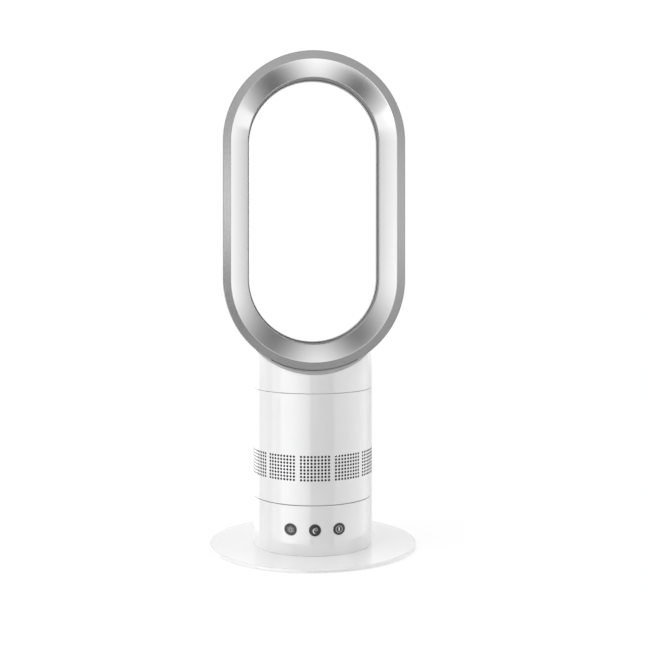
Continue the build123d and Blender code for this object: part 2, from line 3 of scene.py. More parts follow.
import bpy
import numpy as np
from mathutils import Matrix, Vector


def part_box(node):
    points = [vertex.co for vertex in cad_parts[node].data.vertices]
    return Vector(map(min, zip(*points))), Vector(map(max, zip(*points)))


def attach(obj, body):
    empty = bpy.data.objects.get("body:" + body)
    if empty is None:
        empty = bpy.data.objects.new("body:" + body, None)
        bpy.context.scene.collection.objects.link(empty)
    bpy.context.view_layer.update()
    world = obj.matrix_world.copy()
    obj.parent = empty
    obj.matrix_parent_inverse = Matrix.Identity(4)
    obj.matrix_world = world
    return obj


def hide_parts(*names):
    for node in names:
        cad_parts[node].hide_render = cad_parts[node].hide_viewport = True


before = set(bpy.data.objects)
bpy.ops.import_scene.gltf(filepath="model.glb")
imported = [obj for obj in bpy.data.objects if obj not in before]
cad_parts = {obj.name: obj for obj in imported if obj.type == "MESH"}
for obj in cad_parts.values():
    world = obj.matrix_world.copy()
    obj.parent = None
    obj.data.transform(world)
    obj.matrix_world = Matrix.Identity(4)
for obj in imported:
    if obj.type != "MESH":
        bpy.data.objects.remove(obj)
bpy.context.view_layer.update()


# ---------------------------------------------------------------- base plate
# The plate is a disc of steel with a gloss white coat. Its upper edge is rounded, and four screws
# come up through pockets in its underside into the control housing.
plate_low, plate_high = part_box("base_plate")
PLATE_RADIUS = plate_high.x
PLATE_BOTTOM = plate_low.z
PLATE_TOP = plate_high.z
PLATE_TOP_EDGE = 0.0011
PLATE_RIM_WIDTH = 0.0014
PLATE_RIM = PLATE_RADIUS - PLATE_RIM_WIDTH
GROOVE = 0.0004
PLATE_LOWER_EDGE = 0.0005
PLATE_COLUMNS = 180
POCKET_ANGLES = (28, 152, 208, 332)
POCKET_CIRCLE = 0.064
POCKET_RADIUS = 0.0037
POCKET_DEPTH = 0.0021
POCKET_CELL = 0.0065
POCKET_CELL_COLUMNS = 6
PLATE_WHITE = (0.905, 0.907, 0.912)
UP = np.array([0.0, 0.0, 1.0])
POCKET_ROWS = 3
FIRST_CORNER = -135
ARC_STEPS = 5
MERGES_PER_METRE = 1e7
MERGE_SHIFT = 0.37
NOISE_LOW = 0.3
NOISE_HIGH = 0.7
FINER = 8
COAT_ROUGHNESS = 0.04


def rounded(corners):
    """An outline with round corners, as an array of (a, b) points.

    Each corner is (a, b, radius). Its arc touches both sides at radius / tan(half the corner's
    angle), and its points are the arc's centre plus directions that turn evenly between the two
    touching points. A radius of 0 keeps the corner as one point."""
    corners = np.array(corners, float)
    parts = []
    for number, (a, b, radius) in enumerate(corners):
        here = np.array([a, b])
        if radius == 0:
            parts.append(here[None])
            continue
        before = corners[number - 1, :2] - here
        after = corners[(number + 1) % len(corners), :2] - here
        before /= np.linalg.norm(before)
        after /= np.linalg.norm(after)
        half = math.acos(np.clip(before @ after, -1, 1)) / 2
        start = here + before * radius / math.tan(half)
        end = here + after * radius / math.tan(half)
        bisector = before + after
        middle = here + bisector / np.linalg.norm(bisector) * radius / math.sin(half)
        turn = math.pi - 2 * half
        share = np.linspace(0, 1, ARC_STEPS + 1)[:, None]
        arc = np.sin((1 - share) * turn) * (start - middle) + np.sin(share * turn) * (end - middle)
        parts.append(middle + arc / math.sin(turn))
    return np.concatenate(parts)


def square_to(outline, closed=False):
    """Unit directions square to an outline: the step from the point before to the point after,
    turned a quarter to the right of the travel."""
    if closed:
        along = np.roll(outline, -1, 0) - np.roll(outline, 1, 0)
    else:
        along = np.gradient(outline, axis=0)
    along /= np.linalg.norm(along, axis=1, keepdims=True)
    return np.stack([along[:, 1], -along[:, 0]], 1)


def carried(outline, outward, axis, centres=0.0):
    """An open outline carried along a path: centre + a * outward + b * axis, with its normals."""
    square = square_to(outline)
    points = centres + outline[:, None, :1] * outward + outline[:, None, 1:] * axis
    normals = square[:, None, :1] * outward + square[:, None, 1:] * axis
    return points, normals


def patch(points, normals, close_rows=False, close_columns=False, flip=False, finish=0):
    """Four-sided faces between neighbouring points of a grid (rows, columns, 3), or of several
    such grids (copies, rows, columns, 3). flip turns the faces over."""
    points = np.asarray(points, float)
    normals = np.broadcast_to(normals, points.shape)
    copies = points.size // (3 * points.shape[-2] * points.shape[-3])
    rows, columns = points.shape[-3:-1]
    row = np.arange(rows if close_rows else rows - 1)[None, :, None]
    column = np.arange(columns if close_columns else columns - 1)[None, None, :]
    start = np.arange(copies)[:, None, None] * rows * columns
    next_row = (row + 1) % rows
    next_column = (column + 1) % columns
    corners = [start + row * columns + column, start + row * columns + next_column,
               start + next_row * columns + next_column, start + next_row * columns + column]
    faces = np.stack(np.broadcast_arrays(*corners), -1).reshape(-1, 4)
    if flip:
        faces = faces[:, ::-1]
    return points.reshape(-1, 3), normals.reshape(-1, 3), faces, finish


def turned(outline, directions, finish=0):
    """An outline of (distance, height) turned about the upright axis."""
    return patch(*carried(outline, directions, UP), close_columns=True, finish=finish)


def piece(name, patches, finishes, smooth=True):
    """One mesh of several patches. Points within a tenth of a micrometre become one, where a small
    shift keeps round sizes off the rounding's edge. A face with two corners on one point becomes a
    triangle, and each corner keeps its own patch's normal."""
    starts = np.cumsum([0] + [len(p[0]) for p in patches])
    points = np.concatenate([p[0] for p in patches])
    normals = np.concatenate([p[1] for p in patches])
    faces = np.concatenate([p[2] + start for p, start in zip(patches, starts)])
    finish = np.concatenate([np.full(len(p[2]), p[3]) for p in patches])
    places = np.round(points * MERGES_PER_METRE + MERGE_SHIFT).astype(np.int64)
    _, first, index = np.unique(places, axis=0, return_index=True, return_inverse=True)
    index = index.reshape(-1)
    corners = index[faces]
    kept = corners != np.roll(corners, -1, 1)
    whole = kept.sum(1) >= 3
    corners, kept, faces, finish = corners[whole], kept[whole], faces[whole], finish[whole]
    sizes = kept.sum(1)
    mesh = bpy.data.meshes.new(name)
    mesh.vertices.add(len(first))
    mesh.vertices.foreach_set("co", points[first].astype(np.float32).ravel())
    mesh.loops.add(int(sizes.sum()))
    mesh.loops.foreach_set("vertex_index", corners[kept].astype(np.int32))
    mesh.polygons.add(len(sizes))
    mesh.polygons.foreach_set("loop_start", (np.cumsum(sizes) - sizes).astype(np.int32))
    mesh.polygons.foreach_set("material_index", finish.astype(np.int32))
    mesh.polygons.foreach_set("use_smooth", np.full(len(sizes), smooth))
    mesh.update(calc_edges=True)
    if smooth:
        mesh.normals_split_custom_set(normals[faces[kept]].tolist())
    for material in finishes:
        mesh.materials.append(material)
    made = bpy.data.objects.new(name, mesh)
    bpy.context.scene.collection.objects.link(made)
    return made


def turned_directions(angles):
    """Unit directions away from the upright axis at angles in degrees."""
    angles = np.radians(angles)
    return np.stack([np.cos(angles), np.sin(angles), np.zeros_like(angles)], -1)


def cell_edge(left, right, low, high, parts):
    """Points round the edge of a rectangle, left and low corner first, with parts steps a side."""
    step = np.arange(parts) / parts
    across = left + (right - left) * step
    up = low + (high - low) * step
    u = np.concatenate([across, np.full(parts, right), right + left - across, np.full(parts, left)])
    v = np.concatenate([np.full(parts, low), up, np.full(parts, high), high + low - up])
    return np.stack([u, v], -1)


def circle_like(edge, centre, radius):
    """Points of a circle at even angles, one for each point of a rectangle's edge, whose first
    corner lies at -135 degrees from its middle."""
    angle = np.radians(FIRST_CORNER) + 2 * np.pi * np.arange(edge.shape[-2]) / edge.shape[-2]
    return np.asarray(centre) + radius * np.stack([np.cos(angle), np.sin(angle)], -1)


def put(tree, socket, value):
    """Gives an input a value, or a link where the value is another node's output."""
    if isinstance(value, bpy.types.NodeSocket):
        tree.links.new(value, socket)
    else:
        socket.default_value = value


def fed(tree, made, **inputs):
    """Gives a node's inputs their values or links, by their names with _ for a space."""
    for name, value in inputs.items():
        put(tree, made.inputs[name.replace("_", " ")], value)
    return made


def node(tree, kind, **inputs):
    """Adds a node of a kind to a tree."""
    return fed(tree, tree.nodes.new("ShaderNode" + kind), **inputs)


def wandering(name, shades, roughness, scale, bump, metallic=0.0, coat=0.0, specular=0.5):
    """A finish whose shade and roughness wander with a soft noise, and whose surface is lifted by
    a noise eight times as fine."""
    material = bpy.data.materials.new(name)
    material.use_nodes = True
    tree = material.node_tree
    place = node(tree, "TexCoord").outputs["Object"]
    soft = node(tree, "TexNoise", Vector=place, Scale=scale, Detail=4.0).outputs["Fac"]
    fine = node(tree, "TexNoise", Vector=place, Scale=FINER * scale, Detail=3.0).outputs["Fac"]
    ramp = node(tree, "ValToRGB", Fac=soft)
    for stop, at, colour in zip(ramp.color_ramp.elements, (NOISE_LOW, NOISE_HIGH), shades):
        stop.position = at
        stop.color = (*colour, 1)
    spread = node(tree, "MapRange", Value=soft, From_Min=NOISE_LOW, From_Max=NOISE_HIGH,
                  To_Min=roughness[0], To_Max=roughness[1])
    lift = node(tree, "Bump", Height=fine, Strength=1.0, Distance=bump)
    fed(tree, tree.nodes["Principled BSDF"], Base_Color=ramp.outputs["Color"],
        Roughness=spread.outputs["Result"], Normal=lift.outputs["Normal"], Metallic=metallic,
        Specular_IOR_Level=specular, Coat_Weight=coat, Coat_Roughness=COAT_ROUGHNESS)
    return material


def shade(level):
    """A neutral grey."""
    return (level, level, level)


def plate_patches():
    """The disc's top, rim and underside, with four round pockets in the underside."""
    directions = turned_directions(np.arange(PLATE_COLUMNS) * 360 / PLATE_COLUMNS)
    inner, outer = POCKET_CIRCLE - POCKET_CELL, POCKET_CIRCLE + POCKET_CELL
    rim = rounded([(outer, PLATE_BOTTOM, 0), (PLATE_RADIUS, PLATE_BOTTOM, PLATE_LOWER_EDGE),
                   (PLATE_RADIUS, PLATE_TOP, PLATE_TOP_EDGE), (PLATE_RIM, PLATE_TOP, 0)])
    top = rounded([(PLATE_RIM, PLATE_TOP, 0), (PLATE_RIM, PLATE_TOP - GROOVE, 0),
                   (PLATE_RIM - GROOVE, PLATE_TOP - GROOVE, 0), (PLATE_RIM - GROOVE, PLATE_TOP, 0),
                   (0, PLATE_TOP, 0)])
    middle = np.array([(0, PLATE_BOTTOM), (inner, PLATE_BOTTOM)])
    patches = [turned(rim, directions, 1), turned(top, directions), turned(middle, directions)]
    half = POCKET_CELL_COLUMNS * 180 / PLATE_COLUMNS
    radii = np.linspace(inner, outer, POCKET_CELL_COLUMNS + 1)[:, None, None]
    for before, after in zip(POCKET_ANGLES, POCKET_ANGLES[1:] + (POCKET_ANGLES[0] + 360,)):
        steps = round((after - before - 2 * half) * PLATE_COLUMNS / 360)
        between = turned_directions(np.linspace(before + half, after - half, steps + 1))
        patches.append(patch(radii * between + PLATE_BOTTOM * UP, -UP))
    for angle in POCKET_ANGLES:
        edge = cell_edge(angle - half, angle + half, inner, outer, POCKET_CELL_COLUMNS)
        edge = edge[:, 1:] * turned_directions(edge[:, 0])
        centre = POCKET_CIRCLE * turned_directions(float(angle))
        around = turned_directions(angle + FIRST_CORNER - 360 * np.arange(len(edge)) / len(edge))
        circle = centre + POCKET_RADIUS * around
        share = np.linspace(0, 1, POCKET_ROWS)[:, None, None]
        ring = edge * (1 - share) + circle * share + PLATE_BOTTOM * UP
        top_of_pocket = (PLATE_BOTTOM + POCKET_DEPTH) * UP
        wall_of_pocket = np.stack([circle + PLATE_BOTTOM * UP, circle + top_of_pocket])
        ceiling = np.stack([circle, np.broadcast_to(centre, circle.shape)]) + top_of_pocket
        patches += [patch(ring, -UP, close_columns=True), patch(wall_of_pocket, -around, close_columns=True),
                    patch(ceiling, -UP, close_columns=True)]
    return patches


plate_coat = wandering("plate_coat", (shade(0.89), PLATE_WHITE), (0.02, 0.045), 30, 1e-6, coat=0.6)
# The rim's coat is a lighter white than the top's: a painted highlight along the plate's rounded edge.
rim_highlight_coat = wandering("rim_highlight_coat", (shade(0.95), shade(0.97)), (0.05, 0.09), 30, 2e-6, coat=0.6)
plate = piece("plate", plate_patches(), [plate_coat, rim_highlight_coat])
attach(plate, "base")
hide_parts("base_plate")


# ---------------------------------------------------------------- control housing
# The lower cylinder is moulded in gloss white plastic, with three button holes that have rounded
# edges, a square hole at the back for the lead's bush, and a deck with the tower's bearing.
housing_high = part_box("control_housing")[1]
bush_low, bush_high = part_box("cord_bush")
TOWER_RADIUS = housing_high.x
HOUSING_TOP = housing_high.z
HOUSING_WALL = 0.0028
HOUSING_INNER = TOWER_RADIUS - HOUSING_WALL
BUTTONS = ("fan_button", "swing_button", "power_button")
BUTTON_X = [sum(corner.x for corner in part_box(name)) / 2 for name in BUTTONS]
BUTTON_Z = sum(corner.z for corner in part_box(BUTTONS[0])) / 2
HOLE_RADIUS = 0.0069
HOLE_EDGE = 0.0006
HOLE_CELL = 0.009
HOLE_CELL_PARTS = 12
HOLE_CELL_ROWS = 4
HOLE_LIP_ROWS = 6
GAP_PARTS = 6
BUSH_HOLE = 0.0064
BUSH_Z = (bush_low.z + bush_high.z) / 2
BACK_PARTS = 72
DECK_THICK = 0.003
DECK_BOTTOM = HOUSING_TOP - DECK_THICK
BEARING_BORE = 0.01205
BEARING_OUTER = 0.0155
BEARING_DEPTH = 0.011
BEARING_BOTTOM = HOUSING_TOP - BEARING_DEPTH
SEAM_EDGE = 0.0005
FOOT_EDGE = 0.0002
FINE_EDGE = 0.0003
MOULDED_EDGE = 0.0005
SOFT_EDGE = 0.001


def wall(levels, angles, radius, inside=False, close=False, finish=0):
    """Part of an upright cylinder's surface: radius * direction + level, seen from outside or in."""
    directions = turned_directions(angles)
    points = radius * directions + np.asarray(levels)[:, None, None] * UP
    normals = -directions if inside else directions
    return patch(points, normals, close_columns=close, flip=inside, finish=finish)


def on_front(x, z, radius):
    """Points of the tower's front wall straight behind (x, z): y = -root(radius^2 - x^2)."""
    return np.stack([x, -np.sqrt(radius**2 - x**2), z], -1)


def button_hole(centre_x):
    """Both faces of the wall round one button hole, its rounded edge and its bore."""
    edge = cell_edge(centre_x - HOLE_CELL, centre_x + HOLE_CELL,
                     BUTTON_Z - HOLE_CELL, BUTTON_Z + HOLE_CELL, HOLE_CELL_PARTS)
    around = circle_like(edge, (0, 0), 1.0)
    centre = np.array([centre_x, BUTTON_Z])
    share = np.linspace(0, 1, HOLE_CELL_ROWS)[:, None, None]

    def mapped(flat, radius):
        """Flat points laid on an upright cylinder, with its normals: (x, y, 0) / radius."""
        points = on_front(flat[..., 0], flat[..., 1], radius)
        return points, points / radius * (1, 1, 0)

    mouth = centre + around * (HOLE_RADIUS + HOLE_EDGE)
    outer, out = mapped(edge * (1 - share) + mouth * share, TOWER_RADIUS)
    bend = np.linspace(0, np.pi / 2, HOLE_LIP_ROWS)[:, None, None]
    lip, lip_out = mapped(centre + around * (HOLE_RADIUS + HOLE_EDGE * (1 - np.sin(bend))), TOWER_RADIUS)
    lip = lip + HOLE_EDGE * (1 - np.cos(bend)) * (0, 1, 0)
    inward = np.stack([-around[:, 0], np.zeros(len(around)), -around[:, 1]], -1)
    circle = centre + around * HOLE_RADIUS
    bore = np.stack([lip[-1], mapped(circle, HOUSING_INNER)[0]])
    edge_inside = edge * (HOUSING_INNER / TOWER_RADIUS, 1)
    inner, inner_out = mapped(edge_inside * (1 - share) + circle * share, HOUSING_INNER)
    return [patch(outer, out, close_columns=True),
            patch(lip, np.cos(bend) * lip_out + np.sin(bend) * inward, close_columns=True),
            patch(bore, inward, close_columns=True),
            patch(inner, -inner_out, close_columns=True, flip=True)]


def housing_patches():
    """The housing: deck, bearing and rims as turned outlines, and the wall between them."""
    lines = [np.linspace(x - HOLE_CELL, x + HOLE_CELL, HOLE_CELL_PARTS + 1) for x in BUTTON_X]
    gaps = [np.linspace(a[-1], b[0], GAP_PARTS + 1)[1:-1] for a, b in zip(lines, lines[1:])]
    across = np.concatenate([lines[0], gaps[0], lines[1], gaps[1], lines[2]])
    front = -90 + np.degrees(np.arcsin(across / TOWER_RADIUS))
    half = math.degrees(math.asin(BUSH_HOLE / TOWER_RADIUS))
    right = np.linspace(front[-1], 90 - half, BACK_PARTS + 1)[1:]
    behind = np.linspace(90 - half, 90 + half, GAP_PARTS + 1)[1:]
    left = np.linspace(90 + half, front[0] + 360, BACK_PARTS + 1)[1:-1]
    angles = np.concatenate([front, right, behind, left])
    directions = turned_directions(angles)
    cell_low, cell_high = BUTTON_Z - HOLE_CELL, BUTTON_Z + HOLE_CELL
    upper = rounded([(TOWER_RADIUS, cell_high, 0), (TOWER_RADIUS, HOUSING_TOP, SEAM_EDGE),
                     (BEARING_BORE, HOUSING_TOP, FINE_EDGE), (BEARING_BORE, BEARING_BOTTOM, FINE_EDGE),
                     (BEARING_OUTER, BEARING_BOTTOM, MOULDED_EDGE), (BEARING_OUTER, DECK_BOTTOM, SOFT_EDGE),
                     (HOUSING_INNER, DECK_BOTTOM, SOFT_EDGE), (HOUSING_INNER, cell_high, 0)])
    hole_low, hole_high = BUSH_Z - BUSH_HOLE, BUSH_Z + BUSH_HOLE
    lower = rounded([(HOUSING_INNER, hole_low, 0), (HOUSING_INNER, PLATE_TOP, FOOT_EDGE),
                     (TOWER_RADIUS, PLATE_TOP, MOULDED_EDGE), (TOWER_RADIUS, hole_low, 0)])
    patches = [turned(upper, directions), turned(lower, directions)]
    last = len(front) - 1
    hole = last + BACK_PARTS
    beside_hole = np.concatenate([angles[hole + GAP_PARTS:], angles[:hole + 1] + 360])
    long_way = np.concatenate([angles[last:], angles[:1] + 360])
    cell_levels = np.linspace(cell_low, cell_high, HOLE_CELL_PARTS + 1)
    first_gap = front[HOLE_CELL_PARTS:][:GAP_PARTS + 1]
    second_gap = front[2 * HOLE_CELL_PARTS + GAP_PARTS:][:GAP_PARTS + 1]
    for radius, inside in ((TOWER_RADIUS, False), (HOUSING_INNER, True)):
        patches.append(wall((hole_high, cell_low), angles, radius, inside, close=True))
        patches.append(wall((hole_low, hole_high), beside_hole, radius, inside))
        for stretch in (first_gap, second_gap, long_way):
            patches.append(wall(cell_levels, stretch, radius, inside))
    for x in BUTTON_X:
        patches += button_hole(x)
    radii = np.array([TOWER_RADIUS, HOUSING_INNER])[:, None, None]
    opening = turned_directions(angles[hole:][:GAP_PARTS + 1])
    patches.append(patch(radii * opening + hole_high * UP, -UP, flip=True))
    patches.append(patch(radii * opening + hole_low * UP, UP))
    upright = np.array([hole_low, hole_high])[:, None] * UP
    patches.append(patch(radii * opening[0] + upright, (0, 1, 0), flip=True))
    patches.append(patch(radii * opening[-1] + upright, (0, 1, 0)))
    return patches


gloss_white = wandering("gloss_white", (shade(0.852), (0.872, 0.873, 0.876)), (0.055, 0.095), 26, 1.5e-6,
                        coat=0.9)
housing = piece("housing", housing_patches(), [gloss_white])
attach(housing, "base")
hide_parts("control_housing")


# ---------------------------------------------------------------- buttons
# Three round caps of grained dark plastic, whose faces follow the tower's curve. Each has two tabs
# behind the wall, a stem to its switch, and a plain sign printed on its face, the fan's the dimmest.
BUTTON_RADIUS = 0.0067
BUTTON_FACE = -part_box("swing_button")[0].y
BUTTON_EDGE = 0.0007
BUTTON_DEPTH = 0.005
BUTTON_COLUMNS = 48
TAB = (0.004, 0.0018, 0.0174)
TAB_GAP = 0.0003
STEM = 0.003
STEM_OVERLAP = 0.001
FACE_RINGS = (0.004, 0.002, 0)
PRINT_LIFT = 0.00003
PRINT_SINK = 0.0001
RING_POINTS = 40
BLADE_AXES = (0.0036, 0.0013)
BLADE_TILTS = (90, 30, 150)
BLADE_LINE = 0.0003
HOOK_PLACE = (0.0006, -0.0005)
HOOK_RADIUS = 0.0029
HOOK_START = 262
HOOK_SWEEP = -152
HOOK_POINTS = 24
HOOK_SWELL = 0.00045
HOOK_THIN = 0.00015
HOOK_SWELL_SPAN = (0.5, math.pi - 0.15)
EYE_PLACE = (0.0011, 0.0011)
EYE_RADIUS = 0.0015
EYE_LINE = 0.00022
BAR_HALF = 0.0021
BAR_LINE = 0.0007
BAR_POINTS = 6
POWER_RING_RADIUS = 0.0037
POWER_RING_LINE = 0.0002


def blocks(lows, highs, angle=0.0, finish=0):
    """Flat-faced boxes between pairs of corners, turned about the upright axis."""
    ends = np.stack([np.atleast_2d(lows), np.atleast_2d(highs)]).astype(float)
    turn = np.radians(angle)
    spin = np.array([[math.cos(turn), math.sin(turn), 0], [-math.sin(turn), math.cos(turn), 0], [0, 0, 1]])
    patches = []
    for axis in range(3):
        across, along = (axis + 1) % 3, (axis + 2) % 3
        for side in (0, 1):
            points = np.empty((ends.shape[1], 2, 2, 3))
            points[..., axis] = ends[side, :, axis][:, None, None]
            points[..., across] = ends[:, :, across].T[:, None, :]
            points[..., along] = ends[:, :, along].T[:, :, None]
            normal = np.zeros(3)
            normal[axis] = 2 * side - 1
            patches.append(patch(points @ spin, normal @ spin, flip=side == 0, finish=finish))
    return patches


def cap_patches(name, centre_x):
    """The cap: an outline of (distance from its middle, depth behind its face) turned about the
    middle, with the face's own curve added to the depth. Then its tabs and stem."""
    outline = rounded([(0, BUTTON_DEPTH, 0), (BUTTON_RADIUS, BUTTON_DEPTH, FINE_EDGE),
                       (BUTTON_RADIUS, 0, BUTTON_EDGE), *((ring, 0, 0) for ring in FACE_RINGS)])
    angle = 2 * np.pi * np.arange(BUTTON_COLUMNS) / BUTTON_COLUMNS
    around = np.stack([np.cos(angle), np.zeros_like(angle), np.sin(angle)], -1)
    x = centre_x + outline[:, :1] * around[:, 0]
    z = BUTTON_Z + outline[:, :1] * around[:, 2]
    face = on_front(x, z, BUTTON_FACE)
    square = square_to(outline * (1, -1))
    points = face + outline[:, 1:, None] * (0, 1, 0)
    normals = square[:, :1, None] * around + square[:, 1:, None] * (face / BUTTON_FACE * (1, 1, 0))
    normals /= np.linalg.norm(normals, axis=-1, keepdims=True)
    rear = on_front(np.array(centre_x), np.array(BUTTON_Z), BUTTON_FACE)[1] + BUTTON_DEPTH
    width, thick, span = TAB
    tab_front = -math.sqrt(HOUSING_INNER**2 - (abs(centre_x) + width / 2) ** 2) + TAB_GAP
    tab = np.array([centre_x, tab_front + thick / 2, BUTTON_Z])
    stem_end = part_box(name)[1].y
    return ([patch(points, normals, close_columns=True)]
            + blocks(tab - np.array([width, thick, span]) / 2, tab + np.array([width, thick, span]) / 2)
            + blocks((centre_x - STEM / 2, rear - STEM_OVERLAP, BUTTON_Z - STEM / 2),
                     (centre_x + STEM / 2, stem_end, BUTTON_Z + STEM / 2)))


def stroke(line, half_width, closed=False):
    """A printed line on a button's face, as a thin closed solid: its edges lie half_width to each
    side of the line, a little in front of the face and a little behind it."""
    line = np.asarray(line, float)
    side = square_to(line, closed) * np.broadcast_to(half_width, len(line))[:, None]
    flat = np.stack([line - side, line + side, line + side, line - side])
    depth = np.array([-PRINT_LIFT, -PRINT_LIFT, PRINT_SINK, PRINT_SINK])[:, None]
    points = on_front(flat[..., 0], flat[..., 1] + BUTTON_Z, BUTTON_FACE) + depth[..., None] * (0, 1, 0)
    patches = [patch(points, (0, -1, 0), close_rows=True, close_columns=closed)]
    if not closed:
        patches.append(patch(points[:, 0].reshape(2, 2, 3), (0, -1, 0)))
        patches.append(patch(points[:, -1].reshape(2, 2, 3), (0, -1, 0), flip=True))
    return patches


def ring_line(centre, radii, tilt=0.0, start=0.0, sweep=360.0, count=RING_POINTS):
    """Points of an ellipse or of part of one: centre + (a cos, b sin), turned by a tilt."""
    angle = np.radians(start + sweep * np.arange(count) / (count if sweep == 360 else count - 1))
    flat = np.stack([radii[0] * np.cos(angle), radii[1] * np.sin(angle)], -1)
    turn = np.radians(tilt)
    return np.asarray(centre) + flat @ [[math.cos(turn), math.sin(turn)], [-math.sin(turn), math.cos(turn)]]


def fan_sign(x):
    """Three crossed loops, like the blades of a fan."""
    blades = [stroke(ring_line((x, 0), BLADE_AXES, tilt), BLADE_LINE, True) for tilt in BLADE_TILTS]
    return sum(blades, [])


def swing_sign(x):
    """A hooked arrow that swells along its length, by a sine, and ends in a small ring."""
    hook = ring_line(np.add(HOOK_PLACE, (x, 0)), (HOOK_RADIUS, HOOK_RADIUS), 0, HOOK_START, HOOK_SWEEP,
                     HOOK_POINTS)
    swell = HOOK_SWELL * np.sin(np.linspace(*HOOK_SWELL_SPAN, HOOK_POINTS)) + HOOK_THIN
    eye = ring_line(np.add(EYE_PLACE, (x, 0)), (EYE_RADIUS, EYE_RADIUS))
    return stroke(hook, swell) + stroke(eye, EYE_LINE, True)


def power_sign(x):
    """An upright bar inside a thin ring."""
    bar = np.stack([np.full(BAR_POINTS, x), np.linspace(-BAR_HALF, BAR_HALF, BAR_POINTS)], -1)
    ring = ring_line((x, 0), (POWER_RING_RADIUS, POWER_RING_RADIUS))
    return stroke(bar, BAR_LINE) + stroke(ring, POWER_RING_LINE, True)


cap_plastic = wandering("cap_plastic", (shade(0.035), shade(0.055)), (0.32, 0.42), 60, 1.2e-5)
light_print = wandering("light_print", (shade(0.8), shade(0.88)), (0.35, 0.45), 200, 2e-6)
dim_print = wandering("dim_print", (shade(0.34), shade(0.4)), (0.35, 0.45), 200, 2e-6)
SIGNS = {"fan_button": (fan_sign, dim_print), "swing_button": (swing_sign, light_print),
         "power_button": (power_sign, light_print)}
for name, x in zip(BUTTONS, BUTTON_X):
    cap = piece(name + "_cap", cap_patches(name, x), [cap_plastic])
    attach(cap, name)
    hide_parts(name)
    make_sign, ink = SIGNS[name]
    sign = piece(name + "_sign", make_sign(x), [ink], smooth=False)
    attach(sign, name)


# ---------------------------------------------------------------- bush for the lead
# A moulded black plastic bush that is pushed into the housing's back wall. Its flange is a rounded
# square, and a mains lead would come in through its round bore.
BUSH_BORE = 0.0036
BUSH_FLANGE = (bush_high.x - bush_low.x) / 2
BUSH_BODY = 0.006
BUSH_FACE = bush_high.y
BUSH_INNER_END = bush_low.y
BUSH_CORNER = 0.0022
BUSH_MOUTH = 0.0004
BUSH_EDGE = 0.0006
BUSH_SEAT = 0.0001
BUSH_CORNER_POINTS = 7
BUSH_EDGE_ROWS = 5
TINY = 1e-12


def grid_normals(points, close_rows, close_columns):
    """Normals of a grid: the step across its columns, crossed with the step across its rows."""
    def step(axis, closed):
        """From the point before to the point after."""
        if closed:
            return np.roll(points, -1, axis) - np.roll(points, 1, axis)
        return np.gradient(points, axis=axis)
    normals = np.cross(step(1, close_columns), step(0, close_rows))
    return normals / np.maximum(np.linalg.norm(normals, axis=-1, keepdims=True), TINY)


def bush_patches():
    """Rows of rounded squares and circles from the bore, over the flange, to the body's end."""
    corner = np.array([(1, -1), (1, 1), (-1, 1), (-1, -1)])
    quarter = np.linspace(0, 90, BUSH_CORNER_POINTS) + np.array([-90, 0, 90, 180])[:, None]
    quarter = np.radians(quarter)
    unit = np.stack([np.cos(quarter), np.sin(quarter)], -1)

    def squared(half, radius):
        """A rounded square: its corners' middles plus a quarter circle at each."""
        return (corner[:, None] * (half - radius) + unit * radius).reshape(-1, 2)

    circle = BUSH_BORE * unit.reshape(-1, 2)
    rows = [(circle, BUSH_INNER_END), (circle, BUSH_FACE - BUSH_MOUTH),
            (circle * (BUSH_BORE + BUSH_MOUTH) / BUSH_BORE, BUSH_FACE)]
    for bend in np.radians(np.linspace(0, 90, BUSH_EDGE_ROWS)):
        inset = BUSH_EDGE * (1 - math.sin(bend))
        depth = BUSH_FACE - BUSH_EDGE * (1 - math.cos(bend))
        rows.append((squared(BUSH_FLANGE - inset, BUSH_CORNER - inset), depth))
    body = squared(BUSH_BODY, SOFT_EDGE)
    rows += [(squared(BUSH_FLANGE, BUSH_CORNER), TOWER_RADIUS + BUSH_SEAT), (body, TOWER_RADIUS),
             (body, BUSH_INNER_END)]
    points = np.array([np.stack([flat[:, 0], np.full(len(flat), y), flat[:, 1] + BUSH_Z], -1)
                       for flat, y in rows])
    return [patch(points, grid_normals(points, True, True), close_rows=True, close_columns=True)]


bush_plastic = wandering("bush_plastic", (shade(0.025), shade(0.04)), (0.45, 0.6), 80, 1.5e-5)
bush = piece("bush", bush_patches(), [bush_plastic], smooth=False)
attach(bush, "base")
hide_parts("cord_bush")


# ---------------------------------------------------------------- main shell
# The tall plastic cylinder is gloss white outside. Inside, and through the bores of its holes, it is a
# near-black that is partly its dark inner plastic and partly painted shade, so that the holes read dark.
# Eleven groups of round holes let the air in. Its floor carries the hollow spindle and the foam's
# posts, and four ledges inside its wall carry the fan plate.
shell_low, shell_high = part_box("main_shell")
SHELL_WALL = 0.0025
SHELL_INNER = TOWER_RADIUS - SHELL_WALL
WHITE_DEPTH = 0.0015
WHITE_END = TOWER_RADIUS - WHITE_DEPTH
SWING_GAP = 0.0007
SHELL_BOTTOM = HOUSING_TOP + SWING_GAP
SHELL_TOP = shell_high.z
FLOOR_THICK = 0.0035
FLOOR_TOP = SHELL_BOTTOM + FLOOR_THICK
SPINDLE = 0.012
SPINDLE_STEP = 0.0015
SPINDLE_BORE = 0.008
GROUPS = 11
HOLE_COLUMNS = 9
HOLE_ROWS = 8
HOLE_TURN = 3.245
HOLE_RISE = 0.003871
HOLES_LOW = 0.0911
AIR_HOLE = 0.00137
POST = 0.003
POST_PLACE = 0.04
POST_HEIGHT = 0.022
POST_TOP = FLOOR_TOP + POST_HEIGHT
LEDGE = (0.006, 0.010, 0.008)
LEDGE_ANGLES = (0, 90, 180, 270)
LEDGE_TOP = 0.15
LEDGE_OVERLAP = 0.001
CELL_STEPS = 3
SMALL_EDGE = 0.0004


